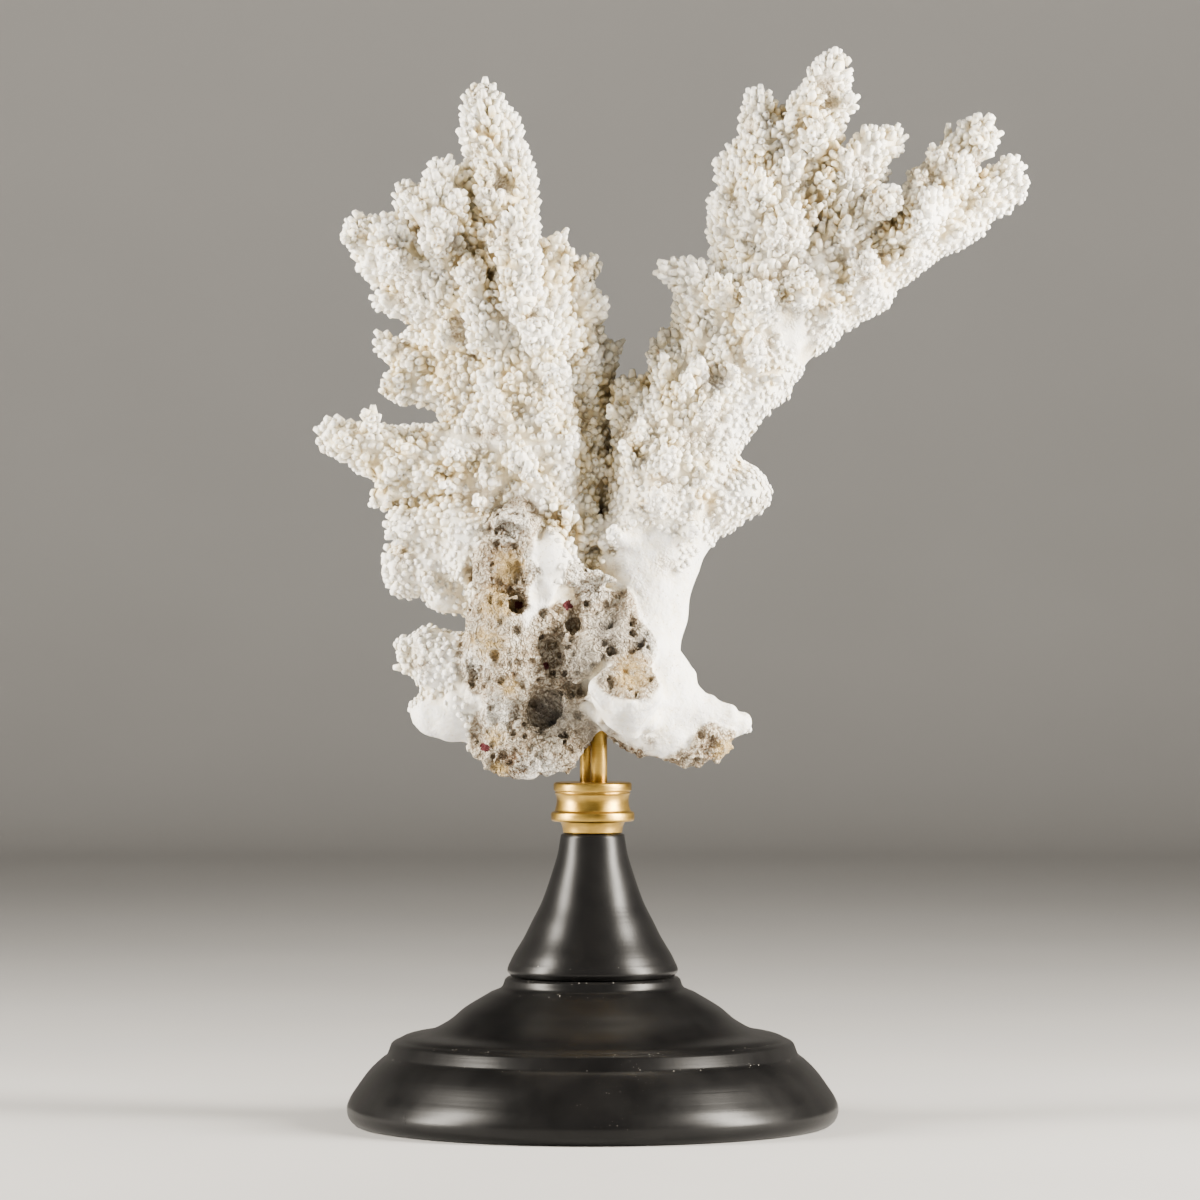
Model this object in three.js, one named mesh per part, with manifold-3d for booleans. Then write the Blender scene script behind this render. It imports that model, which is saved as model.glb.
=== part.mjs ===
// A bleached branching coral held on a turned, black-stained wooden stand.
// The coral is a stony coral: an eroded root from which a broad left fan and a slanting right arm rise,
// each set with short fingers that are rough with little raised cups. Two brass rods come out of a
// turned brass collar and run up into drilled holes in the root. The collar sits on the bell-shaped
// neck, and the neck on the wide moulded foot.
// Millimetres, +Z up. The origin is on the stand's axis at the underside of the foot, and -Y is the front.

import * as THREE from "three";
import { mergeVertices } from "three/addons/utils/BufferGeometryUtils.js";
import Module from "manifold-3d";

const wasm = await Module();
wasm.setup();

// Driving dimensions of the stand
const FOOT_RADIUS = 90;
const FOOT_HEIGHT = 53.9;
const NECK_TOP = 106.3;
const NECK_TOP_RADIUS = 11.6;
const COLLAR_TOP = 125.2;
const COLLAR_RADIUS = 15.3;
const TOP_RIM_RADIUS = 14.2;
const ROD_RADIUS = 3.2;

// Where the foot's mouldings meet, as [radius, height], and the widest of the neck's bottom bead
const RIM_TOP = [75.5, 25.2];
const BAND_BOTTOM = [75, 26];
const BAND_TOP = [73.4, 30];
const SWEEP_BOTTOM = [71.5, 31];
const SWEEP_MIDDLE = [47.5, 42.2];
const SWEEP_TOP = [37, 48];
const STEP_TOP = [32, 53.4];
const NECK_BEAD = [32.4, 56.2];
const NECK_BEAD_TOP = [30.6, 59];
// The chamfer on the collar's top rim
const EDGE = 0.5;

// How deep the rods stand in the collar, how high they reach into the coral, and where they stand
const ROD_SEAT_DEPTH = 9;
const ROD_TOP = 166;
const RODS = {
  brass_rod_front: { x: 2.3, y: -4 },
  brass_rod_back: { x: -1.7, y: 4 },
};

// The small gap left between pieces that touch
const GAP = 0.3;

// Rough limbs carry knobs this high, set in rings about this far apart, and worn limbs lower ones
const KNOB_HEIGHT = 1.7;
const KNOB_SPACING = 12;
const WORN_KNOB_SHARE = 0.4;
// Between the knobs a limb is lower by this share of their height
const DIP_SHARE = 0.3;
// One corner of a limb's ring for about this much of its radius, and the fewest and most pairs of corners
const RADIUS_PER_PAIR = 4.5;
const FEWEST_PAIRS = 3;
const MOST_PAIRS = 5;

// Each limb is a list of [x, y, z, radius] along its middle, from where it grows to its tip
const CORAL = {
  coral_root: [
    [[-26, -4, 148, 16], [-14, 2, 158, 23], [2, 4, 174, 24], [12, 2, 188, 20]],
    [[-36, -8, 139, 9], [-24, -12, 136, 9.5], [-13, -10, 136.5, 8]],
    [[-32, -10, 162, 16], [-31, -15, 184, 14.5], [-31, -18, 200, 13], [-30, -18, 212, 10]],
    [[-14, -14, 190, 12], [-15, -17, 204, 11], [-16, -14, 214, 8]],
    [[0, -8, 166, 17], [1, -19, 184, 12.5], [1, -20, 193, 9.5]],
    [[2, 18, 160, 14], [14, 18, 150, 14], [22, 14, 147, 12]],
    [[-20, 16, 160, 17], [-22, 16, 190, 18]],
  ],
  coral_right_foot: [
    [[14, -4, 168, 20], [24, -4, 157, 16.5], [37, -4, 149, 11], [47, -4, 146.5, 7.2], [54, -4, 146.5, 4.6]],
    [[16, -6, 150, 13], [13, -20, 154, 13.5], [12.5, -31, 160, 12.5]],
    [[20, -8, 146, 11], [34, -8, 139, 8.5], [44, -7, 138.5, 6]],
  ],
  coral_left_trunk: [
    [[-12, 5, 186, 18], [-17, 4, 215, 20], [-22, 3, 250, 22], [-28, 2, 288, 20], [-33, 1, 312, 14]],
    [[-24, 5, 212, 17], [-40, 4, 238, 17], [-43, 4, 262, 14], [-49, 2, 286, 13]],
    [[-5, 10, 202, 13], [-4, 11, 234, 13], [-5, 10, 262, 12.5], [-9, 8, 286, 12]],
    [[-18, 18, 205, 16], [-26, 20, 245, 18], [-34, 18, 285, 16]],
    [[-27, -8, 292, 11], [-28, -22, 311, 9], [-28, -28, 328, 5]],
    [[-17, -6, 292, 10], [-13.5, -9, 321, 5]],
    [[-9, 2, 285, 10], [-4, 0, 313.5, 5]],
    [[-6, 6, 270, 10], [-0.5, 5, 298.5, 5]],
    [[-4, 8, 254, 10], [6, 8, 283, 5]],
    [[-38, -10, 290, 9], [-44, -23, 311, 4.6]],
    [[-18, -10, 275, 9], [-17, -24, 293, 4.6]],
    [[-50, -1, 287, 10], [-70.5, -3, 294, 4.2]],
    [[-48, 1, 274, 11], [-62, 1, 279, 8], [-75.5, 1, 286, 5.4]],
    [[-46, 0, 272, 10], [-61, -1, 270.7, 6.2], [-73, -1, 269.8, 5.2]],
    [[-44, 14, 270, 12], [-66, 36, 287, 5.6]],
    [[-22, 16, 278, 12], [-18, 42, 312, 5.8]],
    [[-34, 18, 258, 13], [-40, 43, 290, 5.8]],
    [[-12, 18, 248, 12], [-9, 41, 273, 5.8]],
    [[-28, 20, 228, 14], [-31, 43, 249, 5.8]],
  ],
  coral_right_trunk: [
    [
      [14, 2, 184, 19], [20, 1, 208, 20.5], [27, 0, 236, 22.5],
      [38, 0, 261, 22], [56, 0, 282, 22], [66, 0, 294, 20],
    ],
    [[17, -1, 228, 10], [19, -2, 246, 11.5], [15.5, -2, 267, 8.5]],
    [[32, 0, 262, 13], [31, -2, 282, 9.5]],
    [[44, 0, 280, 13], [40, -3, 294, 11.5]],
    [[24, 16, 212, 14], [36, 18, 250, 17], [54, 16, 278, 15]],
    [[50, -6, 292, 12], [39, -9, 307, 8.4], [30, -10, 311, 5]],
    [[53, -5, 298, 11], [46, -24, 304.5, 4.8]],
    [[63, -8, 298, 12], [60, -30, 302, 5]],
    [[44, 18, 258, 13], [46, 44, 282, 5.8]],
  ],
  coral_knob: [
    [[30, 0, 222, 17], [44, 0, 227.5, 14], [54, 0, 231.5, 12]],
  ],
  coral_lower_left_lobes: [
    [[-32, -2, 208, 18], [-50, -4, 217, 13.5], [-66.5, -4, 218, 8.8]],
    [[-32, 2, 204, 18], [-50, 0, 203, 13], [-66.5, -1, 203, 10.6]],
    [[-36, 0, 196, 13], [-55, -1, 196, 9.2]],
    [[-40, 10, 208, 15], [-60, 34, 215, 7]],
  ],
  coral_low_left_branch: [
    [[-36, -4, 163, 14], [-50, -7, 167, 13], [-60, -8, 171, 11], [-64, -8, 173, 8]],
    [[-36, -4, 151, 12], [-51, -6, 151, 11], [-59.5, -6, 149.5, 8]],
    [[-40, 2, 158, 13], [-54, 26, 165, 6.5]],
  ],
  coral_long_left_branch: [
    [[-38, 0, 240, 16], [-55, 0, 242, 12.5], [-68, 0, 244, 10.8], [-80, -1, 247, 10], [-94, -1, 252, 7]],
    [[-56, 0, 238, 9], [-69, 0, 231.5, 6], [-77, 0, 229, 3.8]],
    [[-54, 4, 242, 13], [-71, 34, 252, 5.6]],
  ],
  coral_upper_left_branch: [
    [[-46, 2, 300, 17], [-64, 0, 314, 13], [-76, -1, 320.5, 11], [-85.5, -2, 326, 6.8]],
    [[-54, 0, 308, 15], [-55, -3, 336, 10], [-54, -4, 347, 5.5]],
    [[-58, 2, 320, 11], [-66, 3, 340, 5.4]],
    [[-52, 1, 318, 11], [-47, 1, 344, 4.6]],
    [[-58, 0, 306, 10], [-75, 0, 302, 4]],
    [[-54, -4, 310, 11], [-56, -24, 328, 5]],
    [[-66, -6, 314, 9], [-75, -17, 323, 4.4]],
    [[-60, 6, 308, 12], [-70, 35, 329, 5.8]],
    [[-54, 6, 308, 13], [-48, 38, 338, 5.6]],
  ],
  coral_top_finger: [
    [[-33, 1, 308, 14], [-33, 1, 342, 11.5], [-36.5, 0, 361, 10], [-40, 0, 373, 7.5], [-41.5, 0, 379.5, 4.5]],
  ],
  coral_outer_right_branch: [
    [
      [66, 0, 292, 19], [93, 0, 309, 16.5], [113, 0, 321, 13],
      [127.5, 0, 329.5, 11.3], [141, 0, 336.5, 9.6], [154.5, 0, 341.5, 5],
    ],
    [[117, -2, 326, 11], [129, -3, 344, 10.6], [141.5, -3, 363.5, 6.4]],
    [[136, 2, 335, 9], [152, 3, 348.5, 5]],
    [[110, -4, 320, 10], [123, -21, 334, 4.8]],
    [[98, -6, 308, 11], [99, -24, 313, 4.8]],
    [[108, 6, 320, 11], [126, 33, 339, 5.2]],
    [[128, 4, 331, 9], [142, 25, 346, 4.8]],
  ],
  coral_upper_right_branch: [
    [[62, 0, 304, 19], [70, 0, 336, 16.5], [78.5, 0, 360, 12.8], [84, 0, 376, 10], [88.6, 0, 389, 5.4]],
    [[58, 0, 328, 14], [62, -1, 354, 10.4], [61, -1, 373, 4.8]],
    [[70, 0, 352, 11], [72.5, 0, 368, 5.5]],
    [[56, 2, 306, 14], [55, 3, 325, 10.5], [56, 3, 342, 8.5], [54.5, 3, 356, 5]],
    [[58, -6, 326, 9], [60.5, -20, 343, 4.6]],
    [[70, -8, 316, 11], [72, -23, 331, 4.8]],
    [[80, -4, 352, 9], [82, -18, 366, 4.4]],
    [[66, 10, 318, 14], [66, 39, 349, 6.2]],
    [[77, 4, 348, 11], [82, 28, 372, 5]],
    [[60, 8, 312, 13], [53, 41, 326, 5.8]],
    [[74, -6, 306, 12], [76, -28, 302.5, 5]],
  ],
  coral_middle_right_branch: [
    [[86, -2, 318, 14], [92, -4, 337, 12.5], [100, -6, 350, 9.5], [109.5, -6, 362, 4]],
    [[98, -6, 350, 8], [101.5, -7, 361, 3.8]],
    [[95, -6, 328, 9], [108.5, -17, 338, 4.8]],
    [[90, 2, 334, 10], [103, 34, 347, 5.5]],
  ],
};
// Limbs of these pieces are worn smooth
const WORN = ["coral_root", "coral_right_foot", "coral_knob"];
// The flat ends of the stubs that have snapped off, as [x, y, z], the way each faces, and how wide it is
const BREAKS = [
  { at: [-33, -26, 203], facing: [-0.25, -0.85, 0.45], reach: 17 },
  { at: [1, -24, 182], facing: [0, -0.9, 0.42], reach: 17 },
  { at: [12.5, -36, 163], facing: [0, -0.62, 0.78], reach: 16 },
];
// Hollows eaten into the root, as [x, y, z, radius]
const HOLLOWS = [
  [-17, -19, 154, 8],
  [-30, -19, 164, 5.5],
  [-14, -20, 172, 5],
  [8, -20, 140, 7],
];

// Finishes
const coralWhite = new THREE.MeshStandardMaterial({ color: 0xefe9dc, roughness: 0.85, metalness: 0 });
const rootStone = new THREE.MeshStandardMaterial({ color: 0xcfc4b2, roughness: 0.95, metalness: 0 });
const brass = new THREE.MeshStandardMaterial({ color: 0xb58a3c, roughness: 0.3, metalness: 0.9 });
const blackWood = new THREE.MeshStandardMaterial({ color: 0x15151a, roughness: 0.4, metalness: 0 });

// Between a three.js geometry and a solid that can be joined and cut
function solidFrom(geometry) {
  const plain = geometry.clone();
  plain.deleteAttribute("normal");
  plain.deleteAttribute("uv");
  const merged = mergeVertices(plain, 1e-4);
  return new wasm.Manifold(
    new wasm.Mesh({
      numProp: 3,
      vertProperties: merged.attributes.position.array,
      triVerts: new Uint32Array(merged.index.array),
    }),
  );
}

function geometryFrom(solid) {
  const mesh = solid.getMesh();
  const geometry = new THREE.BufferGeometry();
  geometry.setAttribute("position", new THREE.BufferAttribute(mesh.vertProperties, 3));
  geometry.setIndex(new THREE.BufferAttribute(mesh.triVerts, 1));
  geometry.computeVertexNormals();
  return geometry;
}

// A closed tapering limb: rings across a smooth curve, with a pointed cap at each end.
// Every other corner stands out, which makes the knobs, and grow thickens the whole limb evenly.
function limbGeometry(limb, knob, grow) {
  const middle = new THREE.CatmullRomCurve3(
    limb.map(([x, y, z]) => new THREE.Vector3(x, y, z)), false, "centripetal");
  const thickest = Math.max(...limb.map((station) => station[3]));
  const rings = Math.max(2, Math.round(middle.getLength() / Math.max(KNOB_SPACING, 1.3 * thickest)));
  const sides = 2 * THREE.MathUtils.clamp(Math.round(thickest / RADIUS_PER_PAIR), FEWEST_PAIRS, MOST_PAIRS);
  const corners = [];
  const side = new THREE.Vector3(0.3, 1, 0.2);
  for (let i = 0; i <= rings; i++) {
    const t = i / rings;
    const along = middle.getTangent(t);
    side.addScaledVector(along, -side.dot(along)).normalize();
    const across = new THREE.Vector3().crossVectors(along, side);
    for (let j = 0; j < sides; j++) {
      const stand = (i + j) % 2 ? knob : -DIP_SHARE * knob;
      const radius = radiusAt(limb, t) + grow + stand;
      const turn = (j / sides) * 2 * Math.PI;
      corners.push(
        middle.getPoint(t)
          .addScaledVector(side, radius * Math.cos(turn))
          .addScaledVector(across, radius * Math.sin(turn)),
      );
    }
  }
  const reach = (t) => middle.getPoint(t).addScaledVector(
    middle.getTangent(t), (t - 0.3) * (radiusAt(limb, t) + grow));
  const root = corners.push(reach(0)) - 1;
  const tip = corners.push(reach(1).addScaledVector(middle.getTangent(1), 0.25 * radiusAt(limb, 1))) - 1;
  const faces = [];
  for (let j = 0; j < sides; j++) {
    const next = (j + 1) % sides;
    for (let i = 0; i < rings; i++) {
      const a = i * sides;
      const b = a + sides;
      faces.push(a + j, a + next, b + next, a + j, b + next, b + j);
    }
    faces.push(root, next, j, tip, rings * sides + j, rings * sides + next);
  }
  const geometry = new THREE.BufferGeometry().setFromPoints(corners);
  geometry.setIndex(faces);
  return geometry;
}

function radiusAt(limb, t) {
  const place = t * (limb.length - 1);
  const from = Math.min(Math.floor(place), limb.length - 2);
  return THREE.MathUtils.lerp(limb[from][3], limb[from + 1][3], place - from);
}

function pieceSolid(name, grow) {
  const knob = WORN.includes(name) ? WORN_KNOB_SHARE * KNOB_HEIGHT : KNOB_HEIGHT;
  return CORAL[name]
    .map((limb) => solidFrom(limbGeometry(limb, knob, grow)))
    .reduce((whole, limb) => whole.add(limb));
}

// What is missing from the root: the ends of its snapped stubs, and its hollows
function lossSolids() {
  const ends = BREAKS.map(({ at, facing, reach }) => {
    const end = new THREE.CylinderGeometry(reach, reach, reach, 7);
    end.translate(0, reach / 2, 0);
    const turn = new THREE.Quaternion().setFromUnitVectors(
      new THREE.Vector3(0, 1, 0), new THREE.Vector3(...facing).normalize());
    end.applyQuaternion(turn);
    return solidFrom(end.translate(...at));
  });
  const pits = HOLLOWS.map(([x, y, z, radius]) =>
    solidFrom(new THREE.IcosahedronGeometry(radius, 0).translate(x, y, z)));
  return [...ends, ...pits];
}

// Of the bodies that a cut leaves, the one that is the piece itself
function largestBody(solid) {
  return solid.decompose().reduce((best, body) => (body.volume() > best.volume() ? body : best));
}

// A turned piece from its half outline, which starts and ends on the axis
function turned(outline, segments, curveSteps) {
  return new THREE.LatheGeometry(outline.getPoints(curveSteps), segments);
}

function footGeometry() {
  const outline = new THREE.Path();
  outline.moveTo(0, 0);
  outline.lineTo(FOOT_RADIUS - 4, 0);
  outline.quadraticCurveTo(FOOT_RADIUS, 1.5, FOOT_RADIUS, 6.5);
  outline.bezierCurveTo(FOOT_RADIUS, 11.5, 82.5, 20.5, ...RIM_TOP);
  outline.lineTo(...BAND_BOTTOM);
  outline.lineTo(...BAND_TOP);
  outline.lineTo(...SWEEP_BOTTOM);
  outline.bezierCurveTo(62, 32, 52.5, 35.5, ...SWEEP_MIDDLE);
  outline.quadraticCurveTo(43.5, 46.8, ...SWEEP_TOP);
  outline.quadraticCurveTo(33, 49.5, ...STEP_TOP);
  outline.lineTo(29.5, FOOT_HEIGHT);
  outline.lineTo(0, FOOT_HEIGHT);
  return turned(outline, 32, 3);
}

function neckGeometry() {
  const base = FOOT_HEIGHT + GAP;
  const outline = new THREE.Path();
  outline.moveTo(0, base);
  outline.lineTo(29.4, base);
  outline.quadraticCurveTo(...NECK_BEAD, ...NECK_BEAD_TOP);
  outline.bezierCurveTo(21.5, 76, 13, 92, NECK_TOP_RADIUS, NECK_TOP);
  outline.lineTo(0, NECK_TOP);
  return turned(outline, 24, 4);
}

function collarGeometry() {
  const base = NECK_TOP + GAP;
  const outline = new THREE.Path();
  outline.moveTo(0, base);
  outline.lineTo(10.8, base);
  outline.lineTo(11.9, 110.6);
  outline.lineTo(14.8, 110.9);
  outline.lineTo(COLLAR_RADIUS, 111.5);
  outline.lineTo(COLLAR_RADIUS, 113.8);
  outline.bezierCurveTo(14, 114.6, 12.4, 119.5, 13.7, 121.8);
  outline.lineTo(TOP_RIM_RADIUS, 121.8 + EDGE);
  outline.lineTo(TOP_RIM_RADIUS, COLLAR_TOP - EDGE);
  outline.lineTo(TOP_RIM_RADIUS - EDGE, COLLAR_TOP);
  outline.lineTo(0, COLLAR_TOP);
  return turned(outline, 20, 3);
}

// A round rod standing at (x, y), from one height to another
function rodGeometry({ x, y }, radius, from, to) {
  const geometry = new THREE.CylinderGeometry(radius, radius, to - from, 10);
  geometry.rotateX(Math.PI / 2);
  geometry.translate(x, y, (from + to) / 2);
  return geometry;
}

// LatheGeometry turns about Y, and the stand turns about Z
function upright(geometry) {
  return geometry.rotateX(Math.PI / 2);
}

const part = new THREE.Group();
function show(name, geometry, material) {
  const mesh = new THREE.Mesh(geometry, material);
  mesh.name = name;
  part.add(mesh);
}

// The stand
show("wooden_foot", upright(footGeometry()), blackWood);
show("wooden_neck", upright(neckGeometry()), blackWood);
let collar = solidFrom(upright(collarGeometry()));
const rodHoles = [];
for (const [name, place] of Object.entries(RODS)) {
  const seat = COLLAR_TOP - ROD_SEAT_DEPTH;
  show(name, rodGeometry(place, ROD_RADIUS, seat + GAP, ROD_TOP), brass);
  const hole = solidFrom(rodGeometry(place, ROD_RADIUS + GAP, seat, ROD_TOP + GAP));
  rodHoles.push(hole);
  collar = collar.subtract(hole);
}
show("brass_collar", geometryFrom(collar), brass);

// The coral, piece by piece, each cut back from the rods and from the pieces before it
const kept = [...rodHoles, ...lossSolids()];
for (const name of Object.keys(CORAL)) {
  const cut = kept.reduce((solid, neighbour) => solid.subtract(neighbour), pieceSolid(name, 0));
  show(name, geometryFrom(largestBody(cut)), name === "coral_root" ? rootStone : coralWhite);
  kept.push(pieceSolid(name, GAP));
}

export default part;
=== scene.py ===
# %% [markdown]
# # A branching coral on its turned stand
#
# The object is a bleached stony coral on a stand. The coral is a snapped-off branch: an eroded grey root
# with a broad left fan and a slanting right arm, both rough with thousands of little raised cups. Two brass
# rods carry it above a turned brass collar, a bell-shaped neck and a wide moulded foot, both of wood
# finished satin black.
#
# The solids made before give every piece its size and place. Here each one gets its fine surface and finish.
# The stand's pieces are turned, so each is half an outline carried round the axis. The coral is grown: its
# limbs are melted together in a field of distances, a closed surface is found through the field, and the
# cups are set on that surface, a whole piece's at once.

# %% The frame: the solids that everything has to fit
import math

import bpy
import numpy as np
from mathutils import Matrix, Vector


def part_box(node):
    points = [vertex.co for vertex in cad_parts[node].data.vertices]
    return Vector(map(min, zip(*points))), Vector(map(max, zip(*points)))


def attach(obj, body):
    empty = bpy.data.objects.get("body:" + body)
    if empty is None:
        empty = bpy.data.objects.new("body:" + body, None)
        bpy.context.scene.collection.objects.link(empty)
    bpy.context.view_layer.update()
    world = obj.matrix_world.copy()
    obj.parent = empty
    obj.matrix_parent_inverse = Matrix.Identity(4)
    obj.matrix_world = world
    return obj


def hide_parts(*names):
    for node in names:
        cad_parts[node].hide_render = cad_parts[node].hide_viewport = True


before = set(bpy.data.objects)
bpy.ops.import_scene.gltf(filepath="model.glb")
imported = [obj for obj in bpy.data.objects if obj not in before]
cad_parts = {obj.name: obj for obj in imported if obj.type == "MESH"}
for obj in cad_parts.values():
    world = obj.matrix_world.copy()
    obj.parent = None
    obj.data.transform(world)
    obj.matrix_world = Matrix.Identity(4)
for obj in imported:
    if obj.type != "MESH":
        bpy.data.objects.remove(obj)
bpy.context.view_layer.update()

# %% [markdown]
# ## Making a mesh
#
# Every piece below is worked out as whole arrays of points and faces. Shapes are thought of in millimetres,
# and become metres only when a mesh is made.
#
# A value that changes over the surface, such as how worn it is, is stored as a named attribute of the
# points, so a material can read it.

# %% From arrays to a piece
MM = 0.001
rng = np.random.default_rng(11)


def make_piece(name, points, face_groups, node_names, marks=None):
    """A smooth-shaded mesh object from points in millimetres and groups of faces, one group of quads and
    one of triangles, riding on the one body and standing for the named nodes. marks maps a name to one
    value a point."""
    mesh = bpy.data.meshes.new(name)
    corners = np.concatenate([group.ravel() for group in face_groups]).astype(np.int32)
    sizes = np.concatenate([np.full(len(group), group.shape[1]) for group in face_groups])
    starts = (np.cumsum(sizes) - sizes).astype(np.int32)
    mesh.vertices.add(len(points))
    mesh.vertices.foreach_set("co", (points * MM).astype(np.float32).ravel())
    mesh.loops.add(len(corners))
    mesh.loops.foreach_set("vertex_index", corners)
    mesh.polygons.add(len(starts))
    mesh.polygons.foreach_set("loop_start", starts)
    mesh.polygons.foreach_set("use_smooth", np.ones(len(starts), dtype=bool))
    mesh.update(calc_edges=True)
    mesh.validate()
    for mark, values in (marks or {}).items():
        layer = mesh.attributes.new(mark, "FLOAT", "POINT")
        layer.data.foreach_set("value", values.astype(np.float32))
    piece = bpy.data.objects.new(name, mesh)
    bpy.context.scene.collection.objects.link(piece)
    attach(piece, "root")
    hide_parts(*node_names)
    return piece


def smoothstep(low, high, value):
    """0 up to low, 1 from high, and a smooth rise between."""
    share = np.clip((value - low) / (high - low), 0, 1)
    return share * share * (3 - 2 * share)

# %% [markdown]
# ## How the coral grew
#
# A branching coral is limbs on limbs: each starts thick inside an older one and tapers to its tip. So the
# whole thing is written down as limbs, each a few stations of a middle line with the radius there. They are
# the solids' own limbs, with a few small ones that the solids leave out, and with some fingers a little
# slimmer, because the cups still have to stand on them.

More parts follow.
